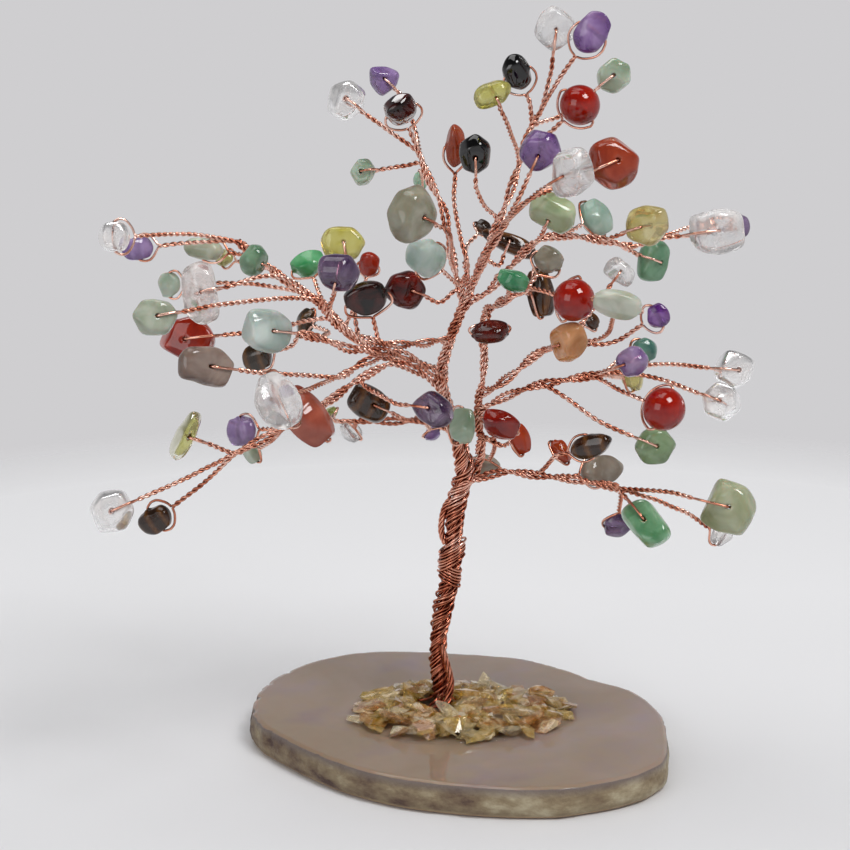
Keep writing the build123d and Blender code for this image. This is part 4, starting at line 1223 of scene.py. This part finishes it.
# The stones: the swinging ones are pieces of their own, the rest go by kind
for stone in stones:
    if stone.swing:
        node = f"{stone.kind}_bead_{stone.number}"
        stone_piece(f"{node}_polished", [stone], node, node)
for kind in sorted(kind_slots):
    fixed = [stone for stone in stones if stone.kind == kind and not stone.swing]
    if fixed:
        stone_piece(f"{kind}_chips_polished", fixed, tree_body, f"{kind}_chips")

# The slice of agate
slab_width = 66.4 * mm
slab_depth = 62.4 * mm
slab_thickness = 5.0 * mm
slab_sides = 220
slab_outline_shares = [
    (-0.51, 0.06), (-0.49, 0.24), (-0.40, 0.40), (-0.28, 0.49), (-0.16, 0.51), (0.00, 0.49),
    (0.16, 0.45), (0.26, 0.37), (0.35, 0.27), (0.44, 0.18), (0.49, 0.02), (0.49, -0.14),
    (0.47, -0.29), (0.40, -0.39), (0.30, -0.45), (0.21, -0.48), (0.10, -0.48), (-0.05, -0.45),
    (-0.19, -0.39), (-0.32, -0.28), (-0.42, -0.15), (-0.49, -0.04),
]
# Each ring of the rind: its height, how far in it lies, and how rough it is
rind_rings = [
    (0.0, 1.5, 0.1), (0.3, 0.85, 0.3), (0.9, 0.4, 0.45), (1.9, 0.2, 0.5), (2.8, 0.3, 0.5),
    (3.6, 0.45, 0.45), (4.2, 0.6, 0.35), (4.66, 0.7, 0.28), (4.7, 0.74, 0.27), (5.0, 1.1, 0.24),
]
rind_lump_size = 4 * mm
rind_grain_size = 1.3 * mm
nick_size = 1.1 * mm
nick_full_height = 3 * mm
# Beyond this share of its width the slice's left tip is nicked more and more deeply
tip_share = 0.34
tip_nicks = 9
polish_depth = 0.28 * mm
# The polished face's rings, which keep its triangles small, as shares of the way in
face_ring_shares = (0.015, 0.04, 0.08, 0.14, 0.22, 0.34, 0.5, 0.7, 0.86)


def slab_loop():
    """The slice's uneven oval, as evenly spread points."""
    points = [Vector((x * slab_width, y * slab_depth, 0)) for x, y in slab_outline_shares]
    closed = points[-2:] + points + points[:3]
    line = [spot for at, spot in smooth_run(closed, 0.4 * mm) if 2 <= at < len(points) + 2]
    lengths = [0.0]
    for before, after in zip(line, line[1:] + line[:1]):
        lengths.append(lengths[-1] + (after - before).length)
    loop = []
    index = 0
    for number in range(slab_sides):
        target = lengths[-1] * number / slab_sides
        while lengths[index + 1] < target:
            index += 1
        loop.append(line[index])
    return loop


def rind_spots(loop, height, inset, rough):
    """One ring of the rind: lumpy and grainy, with nicks towards its upper edge, which are
    deeper at the slice's left tip."""
    spots = []
    for spot in loop:
        in_x, in_y = 1 - 2 * inset / slab_width, 1 - 2 * inset / slab_depth
        shape = Vector((spot.x * in_x, spot.y * in_y, height))
        way = Vector((spot.x / slab_width, spot.y / slab_depth, 0)).normalized()
        coarse = noise.noise(shape / rind_lump_size) + 0.5 * noise.noise(shape / rind_grain_size)
        tip = max(0.0, -spot.x / slab_width - tip_share) * tip_nicks
        nick = min(0.0, noise.noise(spot / nick_size) + 0.1) * (0.4 + tip)
        nicked = nick * mm * min(1.0, height / nick_full_height)
        spots.append(shape + way * ((coarse * 0.7 - 0.5) * rough * mm + nicked))
    return spots


def agate_slice():
    """The slice: a raw rind all round, a sharp nicked edge and a flat polished face."""
    bm = bmesh.new()
    loop = slab_loop()
    ring = list(bmesh.ops.create_circle(
        bm, segments=slab_sides, radius=slab_width / 2, cap_ends=True
    )["verts"])
    for number, (height, inset, rough) in enumerate(rind_rings):
        spots = rind_spots(loop, height * mm, inset * mm, rough)
        if number:
            ring = next_ring(bm, ring, spots)
        else:
            for vert, spot in zip(ring, spots):
                vert.co = spot
    rim = [vert.co.copy() for vert in ring]
    for share in face_ring_shares:
        near = 1 - share
        spots = [Vector((spot.x * near, spot.y * near, slab_thickness)) for spot in rim]
        ring = next_ring(bm, ring, spots)
    bmesh.ops.contextual_create(bm, geom=ring_edges(bm, ring))
    # The rind is the second material, with a sharp edge where the polish meets it
    for face in bm.faces:
        level = face.calc_center_median().z
        face.material_index = 0 if level > slab_thickness - polish_depth else 1
    for edge in bm.edges:
        edge.smooth = len({face.material_index for face in edge.link_faces}) == 1
    finishes = [polished_agate(), agate_rind()]
    mesh_piece("agate_slice", bm, tree_body, finishes, "agate_slab")


agate_slice()

# The puddle of glue, and the citrine splinters heaped in it round the trunk
glue_thickness = 0.5 * mm
glue_sides = 96
# The film's rounded edge, as shares of the puddle's reach and millimetres up
glue_film = [(1.0, -0.1), (1.015, 0.08), (1.0, 0.2), (0.965, 0.32), (0.9, 0.42)]
bed_middle = foot + Vector((1.4 * mm, -4.0 * mm, -glue_thickness))
bed_gap = 1.6 * mm
bed_height = 2.5 * mm
splinter_tries = 190
splinter_corners = 11
splinter_sizes = [(4.0, 8.2), (3.0, 5.4), (1.0, 1.8)]
splinter_tilt = 0.28
splinter_kinds = [
    "#FADA74", "#F4C646", "#FCEEC4", "#F0B830", "#F9E29C", "#F0B074", "#E8962C", "#FEF0D0",
    "#F6D05C",
]
golden_angle = 2.4
# In front of the foot the wires' ends show, so no splinter is heaped there
bare_across = (-4 * mm, 2.6 * mm)
bare_along = (-8 * mm, 1 * mm)


def bed_radius(angle):
    """How far the bed reaches from the foot: further left and right than to the front."""
    return (13.6 + 2.6 * cos(2 * angle) + 0.9 * sin(3 * angle + 1) + 0.9 * cos(angle)) * mm


def glue_puddle():
    """The puddle: a little wider than the bed, with a wandering edge."""
    bm = bmesh.new()
    ring = list(bmesh.ops.create_circle(
        bm, segments=glue_sides, radius=1 * mm, cap_ends=True
    )["verts"])
    angles = [atan2(vert.co.y, vert.co.x) for vert in ring]
    for step, (out, height) in enumerate(glue_film):
        spots = []
        for angle in angles:
            wander = 0.5 * noise.noise(Vector((2 * cos(angle), 2 * sin(angle), 4)))
            far = (bed_radius(angle) + (0.9 + wander) * mm) * out
            spots.append(bed_middle + Vector((far * cos(angle), far * sin(angle), height * mm)))
        if step:
            ring = next_ring(bm, ring, spots)
        else:
            for vert, spot in zip(ring, spots):
                vert.co = spot
    bmesh.ops.contextual_create(bm, geom=ring_edges(bm, ring))
    mesh_piece("glue_puddle", bm, tree_body, [clear_glue()], "glue_bed")


def splinter(bm, middle, size, turn, tint, tints, grains):
    """Adds one angular splinter: the hull of a few points, laid no lower than the slice."""
    start = len(bm.verts)
    corners = []
    for _ in range(splinter_corners):
        way = Vector([random.gauss(0, 1) for _ in range(3)]).normalized()
        corners.append(bm.verts.new(Vector([way[axis] * size[axis] / 2 for axis in range(3)])))
    hull = bmesh.ops.convex_hull(bm, input=corners)
    spare = [each for each in hull["geom_interior"] if isinstance(each, bmesh.types.BMVert)]
    bmesh.ops.delete(bm, geom=spare, context="VERTS")
    bm.verts.ensure_lookup_table()
    verts = bm.verts[start:]
    for vert in verts:
        vert.co = turn @ vert.co
    lowest = min(vert.co.z for vert in verts)
    lift = max(0.0, slab_thickness + 0.05 * mm - (middle.z + lowest))
    for vert in verts:
        vert[grains] = vert.co + middle
        vert[tints] = tint
        vert.co += middle + Vector((0, 0, lift))


def citrine_bed():
    """The bed: splinters that lie nearly flat, heaped highest near the trunk."""
    random.seed(12)
    bm = bmesh.new()
    tints = bm.verts.layers.float_color.new("tint")
    grains = bm.verts.layers.float_vector.new("grain")
    for number in range(splinter_tries):
        # Each splinter lies the golden angle on from the last, so that none crowd or gape
        angle = golden_angle * number + random.uniform(-0.25, 0.25)
        share = random.uniform(0.0, 1.0) ** 0.6
        far = bed_gap + share * (bed_radius(angle) - bed_gap)
        pile = bed_height * (1 - share) ** 0.7
        height = slab_thickness + 0.6 * mm + random.uniform(0.1, 1.0) * pile
        middle = Vector((bed_middle.x + far * cos(angle), bed_middle.y + far * sin(angle), height))
        size = [random.uniform(*sizes) * mm for sizes in splinter_sizes]
        turn = (
            Matrix.Rotation(random.uniform(0, 2 * pi), 3, "Z")
            @ Matrix.Rotation(random.gauss(0, splinter_tilt), 3, "Y")
            @ Matrix.Rotation(random.gauss(0, splinter_tilt), 3, "X")
        )
        tint = srgb(random.choice(splinter_kinds))
        bare = (
            bare_across[0] < middle.x - foot.x < bare_across[1]
            and bare_along[0] < middle.y - foot.y < bare_along[1]
        )
        if not bare:
            splinter(bm, middle, size, turn, tint, tints, grains)
    finishes = [crushed_citrine()]
    mesh_piece("citrine_bed", bm, tree_body, finishes, "citrine_chips", smooth=False)


glue_puddle()
citrine_bed()


# The floor, the light and the background
def pale_floor():
    """A matt white table, painted a little paler behind as the light falls on it, which fades into
    the background.
    """
    material, tree = new_material("matt_white_table")
    here = add_node(tree, "TexCoord").outputs["Object"]
    far = add_node(tree, "VectorMath", {0: here}, operation="LENGTH").outputs["Value"]
    # Painted light: the table runs from a greyer front to a paler back
    behind = add_node(tree, "SeparateXYZ", {"Vector": here}).outputs["Y"]
    share = add_node(tree, "MapRange", {
        "Value": behind, "From Min": -30 * mm, "From Max": 80 * mm,
    })
    colour = add_ramp(tree, share.outputs["Result"], [(0.0, "#D9D9DB"), (1.0, "#E9E9EB")])
    cover = add_node(tree, "MapRange", {"Value": far, "From Min": 175 * mm, "From Max": 215 * mm})
    surface = add_node(tree, "BsdfPrincipled", {"Base Color": colour, "Roughness": 0.5})
    clear = add_node(tree, "BsdfTransparent")
    mixed = add_node(tree, "MixShader", {
        "Fac": cover.outputs["Result"], 1: surface.outputs["BSDF"], 2: clear.outputs["BSDF"],
    })
    return finished(material, mixed.outputs["Shader"])


floor_radius = 220 * mm
floor_drop = 0.05 * mm
bm = bmesh.new()
bmesh.ops.create_circle(bm, cap_ends=True, segments=96, radius=floor_radius)
floor_data = bpy.data.meshes.new("floor")
bm.to_mesh(floor_data)
bm.free()
floor = bpy.data.objects.new("floor", floor_data)
floor.location.z = -floor_drop
floor_data.materials.append(pale_floor())
bpy.context.scene.collection.objects.link(floor)

tree_middle = Vector((0, 0, 0.05))


def soft_light(name, spot, width, power):
    """A square softbox that faces the tree."""
    light = bpy.data.lights.new(name, "AREA")
    light.size = width
    light.energy = power
    lamp = bpy.data.objects.new(name, light)
    lamp.location = spot
    lamp.rotation_euler = (Vector(spot) - tree_middle).to_track_quat("Z", "Y").to_euler()
    bpy.context.scene.collection.objects.link(lamp)


soft_light("key_softbox", (0.32, -0.3, 0.68), 0.3, 3.4)
soft_light("overhead_softbox", (-0.15, 0.1, 0.75), 0.5, 1.6)
soft_light("fill_softbox", (-0.5, -0.55, 0.35), 0.45, 1.2)

# Plain white light all round, and the photograph's pale grey where the background shows, to
# the camera and in metal and glass
world = bpy.data.worlds.new("studio")
bpy.context.scene.world = world
world.use_nodes = True
world.node_tree.nodes.clear()
tree = world.node_tree
path = add_node(tree, "LightPath")
seen = path.outputs["Is Camera Ray"]
for ray in ("Is Glossy Ray", "Is Transmission Ray"):
    seen = add_node(tree, "Math", {0: seen, 1: path.outputs[ray]}, operation="MAXIMUM").outputs[0]
direction = add_node(tree, "TexCoord").outputs["Generated"]
upward = add_node(tree, "SeparateXYZ", {"Vector": direction}).outputs["Z"]
room = add_ramp(tree, upward, [
    (0.0, "#CFCED0"), (0.12, "#CAC9CB"), (0.3, "#A9A8AA"), (0.55, "#5A595B"), (1.0, "#3C3B3D"),
])
ambient = add_node(tree, "Background", {"Color": srgb("#FFFFFF"), "Strength": 0.38})
backdrop = add_node(tree, "Background", {"Color": room, "Strength": 1.0})
both = add_node(tree, "MixShader", {
    "Fac": seen, 1: ambient.outputs["Background"], 2: backdrop.outputs["Background"],
})
add_node(tree, "OutputWorld", {"Surface": both.outputs["Shader"]})
bpy.context.scene.view_settings.view_transform = "Standard"
